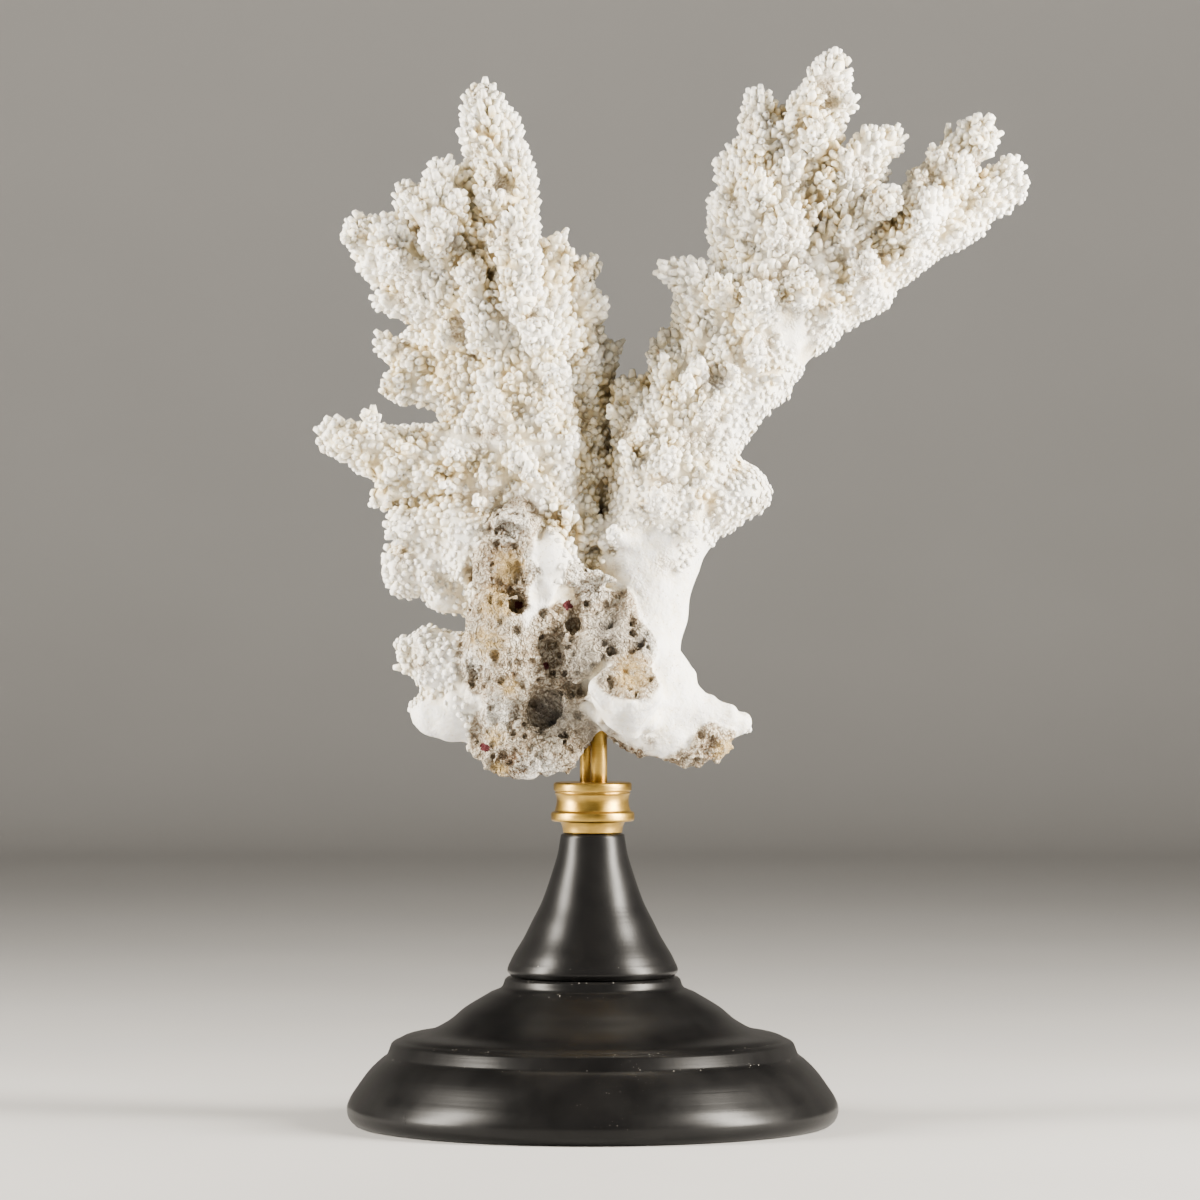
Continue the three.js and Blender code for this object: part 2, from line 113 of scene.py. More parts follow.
# %% The limbs, in millimetres: [x, y, z, radius] from root to tip
LIMBS = {
    "coral_root": [
        [[-26, -4, 148, 16], [-14, 2, 158, 23], [2, 4, 174, 24], [12, 2, 188, 20]],
        [[-36, -8, 139, 9], [-24, -12, 136, 9.5], [-13, -10, 136.5, 8]],
        [[-32, -10, 162, 16], [-31, -15, 184, 14.5], [-31, -18, 200, 13], [-28, -18, 216, 9.5]],
        [[-14, -14, 190, 12], [-15, -17, 204, 11], [-16, -14, 214, 8]],
        [[0, -8, 166, 17], [1, -19, 184, 12.5], [1, -20, 193, 9.5]],
        [[2, 18, 160, 14], [14, 18, 150, 14], [22, 14, 147, 12]],
        [[-20, 16, 160, 17], [-22, 16, 190, 18]],
    ],
    "coral_right_foot": [
        [[14, -4, 168, 20], [24, -4, 157, 16.5], [37, -4, 149, 11], [47, -4, 146.5, 7.2],
         [54, -4, 146.5, 4.6]],
        [[16, -6, 150, 13], [13, -20, 154, 13.5], [12.5, -31, 160, 12.5]],
        [[20, -8, 146, 11], [34, -8, 139, 8.5], [44, -7, 138.5, 6]],
        [[1, -30, 162, 3.6], [5, -38, 158, 3.8], [13, -41, 156, 4], [21, -38, 158, 3.8],
         [25, -30, 162, 3.6]],
        [[40, -8, 150, 5], [50, -9, 151, 3.4]],
    ],
    "coral_left_trunk": [
        [[-12, 5, 186, 18], [-17, 4, 215, 20], [-22, 3, 250, 22], [-28, 2, 288, 20], [-33, 1, 312, 14]],
        [[-24, 5, 212, 17], [-40, 4, 238, 17], [-43, 4, 262, 14], [-49, 2, 286, 13]],
        [[-5, 10, 202, 13], [-4, 11, 234, 13], [-5, 10, 262, 12.5], [-9, 8, 286, 12]],
        [[-18, 18, 205, 16], [-26, 20, 245, 18], [-34, 18, 285, 16]],
        [[-27, -8, 292, 11], [-28, -22, 311, 9], [-28, -28, 328, 5]],
        [[-17, -6, 292, 10], [-13.5, -9, 321, 5]],
        [[-9, 2, 285, 10], [-4, 0, 313.5, 5]],
        [[-6, 6, 270, 10], [-0.5, 5, 298.5, 5]],
        [[-4, 8, 254, 10], [6, 8, 283, 5]],
        [[-38, -10, 290, 9], [-44, -23, 311, 4.6]],
        [[-18, -10, 275, 9], [-17, -24, 293, 4.6]],
        [[-50, -1, 290, 9], [-72, -3, 298.5, 3.2]],
        [[-48, 1, 274, 11], [-61, 1, 276.5, 6.4], [-77, 1, 286, 3.2]],
        [[-46, 0, 271, 10], [-61, -1, 269.7, 5.6], [-75, -1, 268, 4]],
        [[-44, 14, 270, 12], [-66, 36, 287, 5.6]],
        [[-22, 16, 278, 12], [-18, 42, 312, 5.8]],
        [[-34, 18, 258, 13], [-40, 43, 290, 5.8]],
        [[-12, 18, 248, 12], [-9, 41, 273, 5.8]],
        [[-28, 20, 228, 14], [-31, 43, 249, 5.8]],
    ],
    "coral_right_trunk": [
        [[14, 2, 184, 19], [20, 1, 208, 20.5], [27, 0, 236, 22.5], [38, 0, 261, 22], [56, 0, 282, 22],
         [66, 0, 294, 20]],
        [[17, -1, 228, 10], [19, -2, 246, 11.5], [15.5, -2, 267, 8.5]],
        [[32, 0, 262, 13], [31, -2, 282, 9.5]],
        [[44, 0, 280, 13], [40, -3, 294, 11.5]],
        [[24, 16, 212, 14], [36, 18, 250, 17], [54, 16, 278, 15]],
        [[50, -6, 292, 12], [39, -9, 307, 8.4], [30, -10, 311, 5]],
        [[53, -5, 298, 11], [46, -24, 304.5, 4.8]],
        [[63, -8, 298, 12], [60, -30, 302, 5]],
        [[44, 18, 258, 13], [46, 44, 282, 5.8]],
    ],
    "coral_knob": [
        [[30, 0, 222, 17], [44, 0, 227.5, 14], [54, 0, 231.5, 12]],
    ],
    "coral_lower_left_lobes": [
        [[-48, 2, 221, 10], [-62, 2, 226.5, 7]],
        [[-32, -2, 208, 18], [-50, -4, 217, 13.5], [-66.5, -4, 218, 8.8]],
        [[-32, 2, 204, 18], [-50, 0, 203, 13], [-66.5, -1, 203, 10.6]],
        [[-36, 0, 196, 13], [-55, -1, 196, 9.2]],
        [[-40, 10, 208, 15], [-60, 34, 215, 7]],
    ],
    "coral_low_left_branch": [
        [[-36, -4, 163, 14], [-50, -7, 167, 13], [-60, -8, 171, 11], [-64, -8, 173, 8]],
        [[-36, -4, 151, 12], [-51, -6, 151, 11], [-59.5, -6, 149.5, 8]],
        [[-40, 2, 158, 13], [-54, 26, 165, 6.5]],
    ],
    "coral_long_left_branch": [
        [[-38, 0, 240, 16], [-55, 0, 242, 12.5], [-68, 0, 244, 10.8], [-80, -1, 247, 10], [-94, -1, 252, 7]],
        [[-56, 0, 238, 9], [-69, 0, 231.5, 6], [-77, 0, 229, 3.8]],
        [[-54, 4, 242, 13], [-71, 34, 252, 5.6]],
        [[-82, -1, 252, 4], [-84, -2, 260, 2.2]],
        [[-77, -1, 250, 4], [-79.5, -2, 259, 2]],
        [[-71, 0, 248, 4], [-72, -2, 256, 2]],
        [[-66, 0, 248, 4], [-66.5, -2, 256.5, 2.1]],
        [[-61, 0, 247, 4], [-61.5, -2, 255, 2]],
    ],
    "coral_upper_left_branch": [
        [[-46, 2, 300, 17], [-64, 0, 314, 13], [-76, -1, 320.5, 11], [-85.5, -2, 326, 6.8]],
        [[-54, 0, 308, 15], [-55, -3, 336, 10], [-54, -4, 347, 5.5]],
        [[-58, 2, 320, 11], [-66, 3, 340, 5.4]],
        [[-52, 1, 318, 11], [-47, 1, 344, 4.6]],
        [[-58, 0, 306, 10], [-75, 0, 302, 4]],
        [[-54, -4, 310, 11], [-56, -24, 328, 5]],
        [[-66, -6, 314, 9], [-75, -17, 323, 4.4]],
        [[-60, 6, 308, 12], [-70, 35, 329, 5.8]],
        [[-54, 6, 308, 13], [-48, 38, 338, 5.6]],
    ],
    "coral_top_finger": [
        [[-33, 1, 308, 14], [-33, 1, 342, 11.5], [-36.5, 0, 361, 10], [-40, 0, 372, 7.2],
         [-41.5, 0, 378, 4.2]],
    ],
    "coral_outer_right_branch": [
        [[66, 0, 292, 19], [93, 0, 309, 16.5], [113, 0, 321, 13], [127.5, 0, 329.5, 11.3],
         [141, 0, 336.5, 9.6], [154.5, 0, 341.5, 5]],
        [[117, -2, 326, 11], [129, -3, 344, 10.6], [141.5, -3, 363.5, 6.4]],
        [[126, -3, 342, 6], [119, -3, 348, 3.2]],
        [[130, -3, 349, 6], [125, -3, 354, 3]],
        [[136, 2, 335, 9], [152, 3, 348.5, 5]],
        [[110, -4, 320, 10], [123, -21, 334, 4.8]],
        [[98, -6, 308, 11], [99, -24, 313, 4.8]],
        [[108, 6, 320, 11], [126, 33, 339, 5.2]],
        [[128, 4, 331, 9], [142, 25, 346, 4.8]],
    ],
    "coral_upper_right_branch": [
        [[62, 0, 304, 19], [70, 0, 336, 16.5], [78.5, 0, 360, 12.8], [84, 0, 375, 9.6], [89, 0, 387, 5]],
        [[58, 0, 328, 14], [62, -1, 354, 10.4], [61, -1, 373, 4.8]],
        [[70, 0, 352, 11], [72.5, 0, 368, 5.5]],
        [[56, 2, 306, 14], [55, 3, 325, 10.5], [56, 3, 342, 8.5], [54.5, 3, 356, 5]],
        [[53, 3, 328, 7], [48, 3, 337, 3.2]],
        [[55, 3, 340, 6], [49.5, 3, 349, 3]],
        [[58, -6, 326, 9], [60.5, -20, 343, 4.6]],
        [[70, -8, 316, 11], [72, -23, 331, 4.8]],
        [[80, -4, 352, 9], [82, -18, 366, 4.4]],
        [[66, 10, 318, 14], [66, 39, 349, 6.2]],
        [[77, 4, 348, 11], [82, 28, 372, 5]],
        [[60, 8, 312, 13], [53, 41, 326, 5.8]],
        [[74, -6, 306, 12], [76, -28, 302.5, 5]],
    ],
    "coral_middle_right_branch": [
        [[86, -2, 318, 14], [91, -4, 337, 11.5], [99, -6, 350, 8.4], [109.5, -6, 362, 4]],
        [[98, -6, 350, 8], [101.5, -7, 361, 3.8]],
        [[95, -6, 328, 9], [108.5, -17, 338, 4.8]],
        [[90, 2, 334, 10], [103, 34, 347, 5.5]],
    ],
}
PIECES = list(LIMBS)
print(len(PIECES), "coral pieces,", sum(len(limbs) for limbs in LIMBS.values()), "limbs")

# %% [markdown]
# ## The field of distances
#
# At every point of a fine grid we keep how far the point lies outside the coral, below zero inside it. A
# limb's own distance is that of a round cone. Two limbs are joined by taking the lesser distance, melted
# where both are alike, which gives the soft fillets of something grown.
#
# For each point we also keep which piece is nearest, and how far the next piece is. The coral is one growth
# that is parted at its forks, and half the difference of the two says how far the point is from the parting.

# %% The grid and the distance to one limb
FAR = 14.0
BLEND = 3.6


class Grid:
    """Evenly spaced points between two corners, and a field of values on them."""

    def __init__(self, low, high, cell):
        self.cell = cell
        self.axes = [np.arange(a, b + cell, cell, dtype=np.float32) for a, b in zip(low, high)]
        self.shape = tuple(len(axis) for axis in self.axes)

    def part(self, low, high):
        """The slices of the grid that cover the box from low to high."""
        return tuple(
            slice(max(0, int(np.searchsorted(axis, a)) - 1), int(np.searchsorted(axis, b)) + 1)
            for axis, a, b in zip(self.axes, low, high)
        )

    def mesh(self, part):
        """x, y and z over a part of the grid, shaped so that they spread over it."""
        x, y, z = (axis[s] for axis, s in zip(self.axes, part))
        return x[:, None, None], y[None, :, None], z[None, None, :]


def limb_distance(limb, x, y, z):
    """Distance outside a limb: to the nearest point of each straight stretch of its middle line, less the
    radius at that point, and the least of these over the stretches."""
    least = None
    for (ax, ay, az, ar), (bx, by, bz, br) in zip(limb[:-1], limb[1:]):
        ux, uy, uz = bx - ax, by - ay, bz - az
        along = ((x - ax) * ux + (y - ay) * uy + (z - az) * uz) / (ux * ux + uy * uy + uz * uz)
        along = np.clip(along, 0, 1)
        away = np.sqrt((x - ax - along * ux) ** 2 + (y - ay - along * uy) ** 2 + (z - az - along * uz) ** 2)
        away = away - (ar + along * (br - ar))
        least = away if least is None else np.minimum(least, away)
    return least


def melt(a, b, width):
    """The lesser of two distances, rounded off where they differ by less than width."""
    near = np.clip(1 - np.abs(a - b) / width, 0, 1)
    return np.minimum(a, b) - near * near * (width / 4)


def limb_box(limb, margin):
    """The corners of the box around a limb, with a margin."""
    stations = np.array(limb, dtype=float)
    reach = stations[:, 3:] + margin
    return (stations[:, :3] - reach).min(axis=0), (stations[:, :3] + reach).max(axis=0)


def grow(grid, limbs_of):
    """The melted distance to all the limbs, the nearest piece's number and distance, and the next piece's."""
    whole = np.full(grid.shape, FAR, dtype=np.float32)
    nearest = whole.copy()
    following = whole.copy()
    owner = np.zeros(grid.shape, dtype=np.int8)
    for number, name in enumerate(PIECES):
        own = np.full(grid.shape, FAR, dtype=np.float32)
        for limb in limbs_of[name]:
            part = grid.part(*limb_box(limb, FAR))
            distance = limb_distance(limb, *grid.mesh(part)).astype(np.float32)
            whole[part] = melt(whole[part], distance, BLEND)
            own[part] = np.minimum(own[part], distance)
        closer = own < nearest
        following = np.where(closer, nearest, np.minimum(following, own))
        owner[closer] = number
        nearest = np.minimum(nearest, own)
    return whole, owner, nearest, following

# %% [markdown]
# ## From a field to a surface
#
# The surface is where the field is zero. Each cube of the grid whose corners lie on both sides gets one
# point, at the mean of the places where the surface crosses the cube's edges, and each crossed edge gets one
# four-sided face from the four cubes around it. That makes even, closed quads, all from whole arrays.

# %% The surface net
STEPS = np.eye(3, dtype=int)


def surface_net(field, grid, part):
    """Points in millimetres and quads, facing out, of the surface where a field on a part of a grid is 0."""
    inside = field < 0
    cube_shape = tuple(n - 1 for n in field.shape)
    total = np.zeros(cube_shape + (3,), dtype=np.float32)
    crossings = np.zeros(cube_shape, dtype=np.float32)
    edges = []
    for axis in range(3):
        u, v = (axis + 1) % 3, (axis + 2) % 3
        first = [slice(None)] * 3
        second = [slice(None)] * 3
        first[axis] = slice(0, -1)
        second[axis] = slice(1, None)
        a, b = field[tuple(first)], field[tuple(second)]
        at = np.argwhere(inside[tuple(first)] != inside[tuple(second)])
        value_a = a[tuple(at.T)]
        value_b = b[tuple(at.T)]
        place = at.astype(np.float32)
        place[:, axis] += value_a / (value_a - value_b)
        for du in (0, -1):
            for dv in (0, -1):
                cube = at + du * STEPS[u] + dv * STEPS[v]
                fits = ((cube >= 0) & (cube < cube_shape)).all(axis=1)
                flat = np.ravel_multi_index(tuple(cube[fits].T), cube_shape)
                np.add.at(crossings.reshape(-1), flat, 1)
                np.add.at(total.reshape(-1, 3), flat, place[fits])
        within = ((at[:, [u, v]] > 0) & (at[:, [u, v]] < np.array(cube_shape)[[u, v]])).all(axis=1)
        edges.append((axis, at[within], value_a[within] < 0))
    number = np.full(cube_shape, -1, dtype=np.int64)
    used = crossings > 0
    number[used] = np.arange(used.sum())
    points = total[used] / crossings[used][:, None]
    quads = []
    for axis, at, out in edges:
        u, v = STEPS[(axis + 1) % 3], STEPS[(axis + 2) % 3]
        around = ((1, 1), (0, 1), (0, 0), (1, 0))
        ring = np.stack([number[tuple((at - du * u - dv * v).T)] for du, dv in around])
        quads.append(np.where(out, ring, ring[::-1]).T)
    start = np.array([axis[s.start] for axis, s in zip(grid.axes, part)])
    return start + points * grid.cell, np.concatenate(quads)


def sampled(field, grid, part, points):
    """The field at any points, weighted from the eight grid points around each."""
    start = np.array([axis[s.start] for axis, s in zip(grid.axes, part)])
    place = (points - start) / grid.cell
    low = np.clip(np.floor(place).astype(int), 0, np.array(field.shape) - 2)
    share = np.clip(place - low, 0, 1)
    value = 0
    for corner in np.ndindex(2, 2, 2):
        weight = np.prod(np.where(corner, share, 1 - share), axis=1)
        value = value + weight * field[tuple((low + corner).T)]
    return value


def slope(field, grid, part, points):
    """The direction in which the field rises fastest, which points straight out of the surface."""
    steps = STEPS * grid.cell
    rise = np.stack([
        sampled(field, grid, part, points + step) - sampled(field, grid, part, points - step)
        for step in steps], axis=1)
    return rise / np.maximum(np.linalg.norm(rise, axis=1, keepdims=True), 1e-6)

# %% [markdown]
# ## Wear
#
# The root is old and eroded, and its look is made by what is missing: three stubs snapped off nearly flat,
# hollows eaten into the front, and hundreds of small pits. Beside them the coral is smooth, white and
# rounded, as if melted. So there are three kinds of surface, and each is described by round patches:
# eroded, smooth, and, everywhere else, rough with cups.

# %% Where the coral is snapped, hollowed, eroded or smooth, in millimetres
BREAKS = [
    {"at": (-33, -26, 203), "facing": (-0.25, -0.85, 0.45), "reach": 17},
    {"at": (1, -24, 182), "facing": (0, -0.9, 0.42), "reach": 17},
    {"at": (12.5, -36, 163), "facing": (0, -0.62, 0.78), "reach": 16},
]
HOLLOWS = np.array([
    [-18, -19, 152, 7.5], [-30, -19, 164, 3.6], [-14, -20, 172, 3], [8, -20, 140, 7], [-6, -18, 160, 4],
    [-33, -28, 212, 5], [-27, -27, 202, 4.5], [-34, -27, 198, 3.5], [-28, -26, 191, 4.5], [3, -27, 190, 4],
    [18, -21, 176, 3], [-8, -22, 184, 4],
])
ERODED = np.array([
    [-31, -24, 203, 17], [-35, -20, 184, 15], [-36, -14, 170, 17], [-22, -18, 162, 22], [-30, -12, 142, 19],
    [-10, -22, 176, 17], [-12, -12, 140, 17], [5, -26, 186, 17], [13, -22, 176, 13], [13, -36, 164, 13],
    [0, -24, 198, 12], [-28, -18, 220, 11],
    [46, -12, 137, 13], [34, -8, 130, 12], [16, 2, 134, 16], [-6, 22, 160, 30], [-22, 24, 184, 20],
])
SMOOTH = np.array([
    [-16, -24, 208, 10], [-18, -26, 196, 8], [12, -34, 146, 17], [30, -14, 156, 18], [32, -8, 186, 22],
    [52, -6, 152, 15], [36, -2, 206, 16], [-54, -8, 146, 15], [-55, -6, 190, 9],
])
CUPLESS = np.array([
    [-8, -20, 160, 44], [24, -16, 152, 40], [28, 0, 180, 30], [1, -22, 194, 16], [-28, -22, 206, 19],
    [0, 20, 150, 36], [-20, 20, 176, 26], [-56, -8, 145, 14], [20, -20, 206, 15],
])
LOW_CUPS = np.array([
    [22, -16, 214, 34], [56, -2, 230, 26], [-56, -8, 202, 26], [-42, -14, 222, 20], [60, -16, 272, 24],
    [80, -10, 290, 20], [-58, -8, 184, 24], [-56, -8, 160, 20], [70, -12, 262, 20],
])


def patches(spheres, points, edge=0.35):
    """1 well inside any of the spheres, 0 outside them all, with a soft rim of that share of the radius."""
    most = np.zeros(len(points), dtype=np.float32)
    for x, y, z, radius in spheres:
        away = np.linalg.norm(points - (x, y, z), axis=1) / radius
        most = np.maximum(most, smoothstep(1, 1 - edge, away))
    return most


WAVES = rng.random((32, 32, 32)).astype(np.float32) * 2 - 1


def waves(points, size):
    """Smooth random waves of that size, from -1 to 1: values at the corners of a lattice, eased between."""
    place = points / size + size * 7
    low = np.floor(place).astype(int)
    share = place - low
    share = share * share * (3 - 2 * share)
    value = 0
    for corner in np.ndindex(2, 2, 2):
        weight = np.prod(np.where(corner, share, 1 - share), axis=1)
        value = value + weight * WAVES[tuple(((low + corner) % 32).T)]
    return value


def eroded_at(points):
    """How eroded the coral is at each point, with ragged borders to the smooth and the rough parts."""
    ragged = 0.4 * waves(points, 7) + 0.3 * waves(points, 3)
    return np.clip(patches(ERODED, points) * 1.3 + ragged - 1.5 * patches(SMOOTH, points, 0.7), 0, 1)


def smooth_at(points, normals):
    """How smooth it is: most in the smooth and cupless patches, and less, so that the cups stay low, in
    some patches by the root and on the underside of the long arm to the right."""
    x, z = points[:, 0], points[:, 2]
    under_arm = smoothstep(0.15, 0.6, 0.55 * normals[:, 0] - 0.85 * normals[:, 2])
    under_arm = 0.57 * under_arm * smoothstep(20, 40, x) * smoothstep(332, 300, z - 0.25 * x)
    ragged = 0.25 * waves(points, 8) + 0.15 * waves(points, 3)
    most = np.maximum(patches(SMOOTH, points, 0.7), 1.2 * patches(CUPLESS, points, 0.25) + ragged)
    low = 0.54 * patches(LOW_CUPS, points, 0.6)
    return np.clip(np.maximum(most, np.maximum(under_arm, low)), 0, 1)

# %% [markdown]
# ## Small knobs
#
# Between the fingers the coral is knobbly: it throws out some two hundred short side shoots. They are grown
# from the limbs' own surface. Points are picked on a coarse net of it, evenly but at random, and each gets
# a short stubby limb that leans toward the tip of the limb it grows on. Only the front and the back above
# the root get them, so the outline stays that of the limbs.

# %% Picking even points, and the direction of growth
def pick_even(points, spacing, random):
    """The numbers of points that lie about evenly apart. First one in each cube of the spacing, the nearest
    to a random place in it. Then, in rounds, a point stays if no earlier one close by is left, and the ones
    close to it go."""
    place = points / spacing
    cube = np.floor(place).astype(int)
    cube -= cube.min(axis=0)
    key = np.ravel_multi_index(tuple(cube.T), tuple(cube.max(axis=0) + 1))
    wish = random.random((key.max() + 1, 3))[key]
    order = np.lexsort((np.linalg.norm(place - np.floor(place) - wish, axis=1), key))
    first = np.ones(len(order), dtype=bool)
    first[1:] = key[order][1:] != key[order][:-1]
    chosen = random.permutation(order[first])
    spot = (points[chosen] - points.mean(axis=0)).astype(np.float32)
    square = (spot * spot).sum(axis=1)
    close = square[:, None] + square[None] - 2 * spot @ spot.T < (0.9 * spacing) ** 2
    np.fill_diagonal(close, False)
    earlier = np.tril(close)
    left = np.ones(len(chosen), dtype=bool)
    kept = np.zeros(len(chosen), dtype=bool)
    for _ in range(5):
        stays = left & ~(earlier[:, left].any(axis=1))
        kept |= stays
        left &= ~stays & ~close[:, stays].any(axis=1)
    return chosen[kept]


def growth_at(limbs_of, points):
    """The direction in which the nearest limb grows, at each point."""
    least = np.full(len(points), np.inf)
    direction = np.zeros((len(points), 3))
    for limb in (limb for limbs in limbs_of.values() for limb in limbs):
        for a, b in zip(limb[:-1], limb[1:]):
            away = limb_distance([a, b], *points.T)
            closer = away < least
            least = np.where(closer, away, least)
            direction[closer] = np.subtract(b[:3], a[:3])
    return direction / np.linalg.norm(direction, axis=1, keepdims=True)


# %% The knobs, as more limbs
LOW, HIGH = (-108, -52, 118), (168, 60, 402)
KNOB_SPACING = 8.8
SHORTEST_KNOB, KNOB_SPREAD = 3.4, 4.0
THINNEST_KNOB, KNOB_GIRTH = 2.4, 1.2
LOWEST_KNOB = 196
coarse = Grid(LOW, HIGH, 2.5)
all_of = tuple(slice(0, n) for n in coarse.shape)
whole, owner, nearest, following = grow(coarse, LIMBS)
points, _ = surface_net(whole, coarse, all_of)
points = points[pick_even(points, KNOB_SPACING, rng)]
normals = slope(whole, coarse, all_of, points)
growth = growth_at(LIMBS, points)
bare = np.maximum(eroded_at(points), smooth_at(points, normals))
facing = np.abs(normals[:, 1])
on_side = (normals * growth).sum(axis=1) < 0.3
above = points[:, 2] > LOWEST_KNOB
keep = (bare < 0.55) & (facing > 0.58) & on_side & above & (rng.random(len(points)) < 0.9)
points, normals, growth = points[keep], normals[keep], growth[keep]
lean = normals + 0.8 * growth + 0.35 * rng.standard_normal(points.shape)
lean /= np.linalg.norm(lean, axis=1, keepdims=True)
length = SHORTEST_KNOB + KNOB_SPREAD * rng.random(len(points)) ** 1.5
width = THINNEST_KNOB + KNOB_GIRTH * rng.random(len(points))
cell_of = np.round((points - [axis[0] for axis in coarse.axes]) / coarse.cell).astype(int)
knob_owner = owner[tuple(cell_of.T)]
limbs = {name: list(own) for name, own in LIMBS.items()}
for number, foot, way, reach, radius in zip(knob_owner, points, lean, length, width):
    start = [*(foot - 2 * way), radius + 1.2]
    limbs[PIECES[number]].append([start, [*(foot + reach * way), 0.8 * radius]])
print(len(points), "knobs on the limbs")

# %% [markdown]
# ## Growing each piece
#
# Each piece of the coral has a fine net of its own. The field there is the whole coral's, so two pieces that
# meet at a fork have the same surface up to their parting. Past it, the piece's own surface sinks under its
# neighbour's and is closed off inside, so no seam shows and every mesh is whole. The root and the right foot
# get smaller cubes, because their crumbly surface needs them.

# %% The worn field of one piece
FINE, MIDDLING = 0.85, 1.4
SINK_SHARE = 0.5
SINK_REACH = 3.0
BAND = 4.0
CUP_ROOM = 1.1


def roughen(field, grid, part):
    """Adds to the field near its surface: where the coral is rough, bulges with creases between them and
    lumps on them, and where it is eroded, folds and crumbs."""
    near = np.nonzero(np.abs(field) < BAND)
    points = np.stack([axis[s][n] for axis, s, n in zip(grid.axes, part, near)], axis=1)
    worn = eroded_at(points)
    smooth = patches(SMOOTH, points, 0.7)
    bulges = 1.5 - 4.2 * np.abs(waves(points, 12)).clip(0, 0.6)
    lumps = CUP_ROOM + bulges + 0.7 * waves(points, 6.5) + 0.6 * waves(points, 4.4)
    folds = 3.2 * np.abs(waves(points, 7)) + 1.8 * np.abs(waves(points, 3.6))
    crumbs = 1.5 * np.abs(waves(points, 2.3)) + 0.6 * waves(points, 1.3)
    swell = 1.0 * waves(points, 13) + 0.5 * np.abs(waves(points, 6)) + 0.2 * waves(points, 2.6)
    field[near] += lumps * (1 - smooth) * (1 - worn) + worn * (folds + crumbs - 1.8) + swell * smooth
    return field


def cut_away(field, grid, part):
    """Takes the snapped ends and the hollows out of the field."""
    x, y, z = grid.mesh(part)
    for place in BREAKS:
        dx, dy, dz = (value - middle for value, middle in zip((x, y, z), place["at"]))
        fx, fy, fz = np.array(place["facing"]) / np.linalg.norm(place["facing"])
        beyond = dx * fx + dy * fy + dz * fz
        aside = np.sqrt(np.maximum(dx * dx + dy * dy + dz * dz - beyond * beyond, 0))
        field = np.maximum(field, np.minimum(beyond, place["reach"] - aside))
    for cx, cy, cz, radius in HOLLOWS:
        hollow = radius - np.sqrt((x - cx) ** 2 + (y - cy) ** 2 + (z - cz) ** 2)
        field = -melt(-field, -hollow, 2.5)
    return field


def pit(field, grid, part):
    """Eats small round pits into the eroded parts, many tiny ones and a few large."""
    points, _ = surface_net(field, grid, part)
    points = points[pick_even(points, 2.9, rng)]
    points = points[eroded_at(points) > 0.6]
    normals = slope(field, grid, part, points)
    radius = 0.7 + 1.6 * rng.random(len(points)) ** 3
    middle = points + normals * (rng.random(len(points)) * 0.7 - 0.25)[:, None] * radius[:, None]
    start = np.array([axis[s.start] for axis, s in zip(grid.axes, part)])
    for (cx, cy, cz), r in zip(middle, radius):
        low = np.maximum(((cx - r, cy - r, cz - r) - start) // grid.cell, 0).astype(int)
        high = (((cx + r, cy + r, cz + r) - start) // grid.cell + 2).astype(int)
        inner = tuple(slice(a, b) for a, b in zip(low, high))
        here = tuple(slice(p.start + a, min(p.start + b, p.stop)) for p, a, b in zip(part, low, high))
        x, y, z = grid.mesh(here)
        hole = r - np.sqrt((x - cx) ** 2 + (y - cy) ** 2 + (z - cz) ** 2)
        field[inner] = np.maximum(field[inner], hole)
    return field, len(points)


def part_closed(field):
    """Fills points that lie between two inside points that touch only across a diagonal, so that the net has
    no edge shared by four faces."""
    for _ in range(3):
        inside = field < 0
        for u, v in ((0, 1), (1, 2), (2, 0)):
            views = []
            for du, dv in ((0, 0), (1, 0), (1, 1), (0, 1)):
                view = [slice(None)] * 3
                view[u] = slice(du, field.shape[u] - 1 + du)
                view[v] = slice(dv, field.shape[v] - 1 + dv)
                views.append(tuple(view))
            a, b, c, d = (inside[view] for view in views)
            touching = (a == c) & (b == d) & (a != b)
            for view, hit in zip(views, (touching & ~a, touching & ~b, touching & ~a, touching & ~b)):
                field[view] = np.where(hit, -0.05, field[view])
            inside = field < 0
    return field


def without_islands(points, quads):
    """Drops the crumbs that the pits have cut loose: parts with less than a fiftieth of the points. Each
    point starts with its own number, and takes the least number of its faces' points until none changes."""
    label = np.arange(len(points))
    while True:
        least = label.copy()
        np.minimum.at(least, quads.ravel(), np.repeat(label[quads].min(axis=1), 4))
        least = least[least]
        if (least == label).all():
            break
        label = least
    keep = np.bincount(label, minlength=len(points))[label] > len(points) / 50
    number = np.cumsum(keep) - 1
    return points[keep], number[quads[keep[quads[:, 0]]]]


def grow_piece(name, cell):
    """The points and quads of one piece's body, and where on it the piece still shows."""
    lows, highs = zip(*(limb_box(limb, 9) for limb in limbs[name]))
    grid = Grid(np.min(lows, axis=0), np.max(highs, axis=0), cell)
    part = tuple(slice(0, n) for n in grid.shape)
    whole, owner, nearest, following = grow(grid, limbs)
    field = roughen(cut_away(whole, grid, part), grid, part)
    pits = 0
    if cell == FINE:
        field, pits = pit(field, grid, part)
    own = np.min([limb_distance(limb, *grid.mesh(part)) for limb in limbs[name]], axis=0)
    others = np.where(owner == PIECES.index(name), following, nearest)
    past = (own - others) / 2
    field_here = field + SINK_SHARE * np.maximum(past, 0)
    field_here = np.maximum(field_here, past - SINK_REACH)
    points, quads = without_islands(*surface_net(part_closed(field_here), grid, part))
    return {
        "points": points,
        "quads": quads,
        "pits": pits,
        "normals": slope(field, grid, part, points),
        "past": sampled(past, grid, part, points),
        "open": [sampled(field, grid, part, points + reach * slope(field, grid, part, points)) / reach
                 for reach in (1.3, 3, 7)],
    }

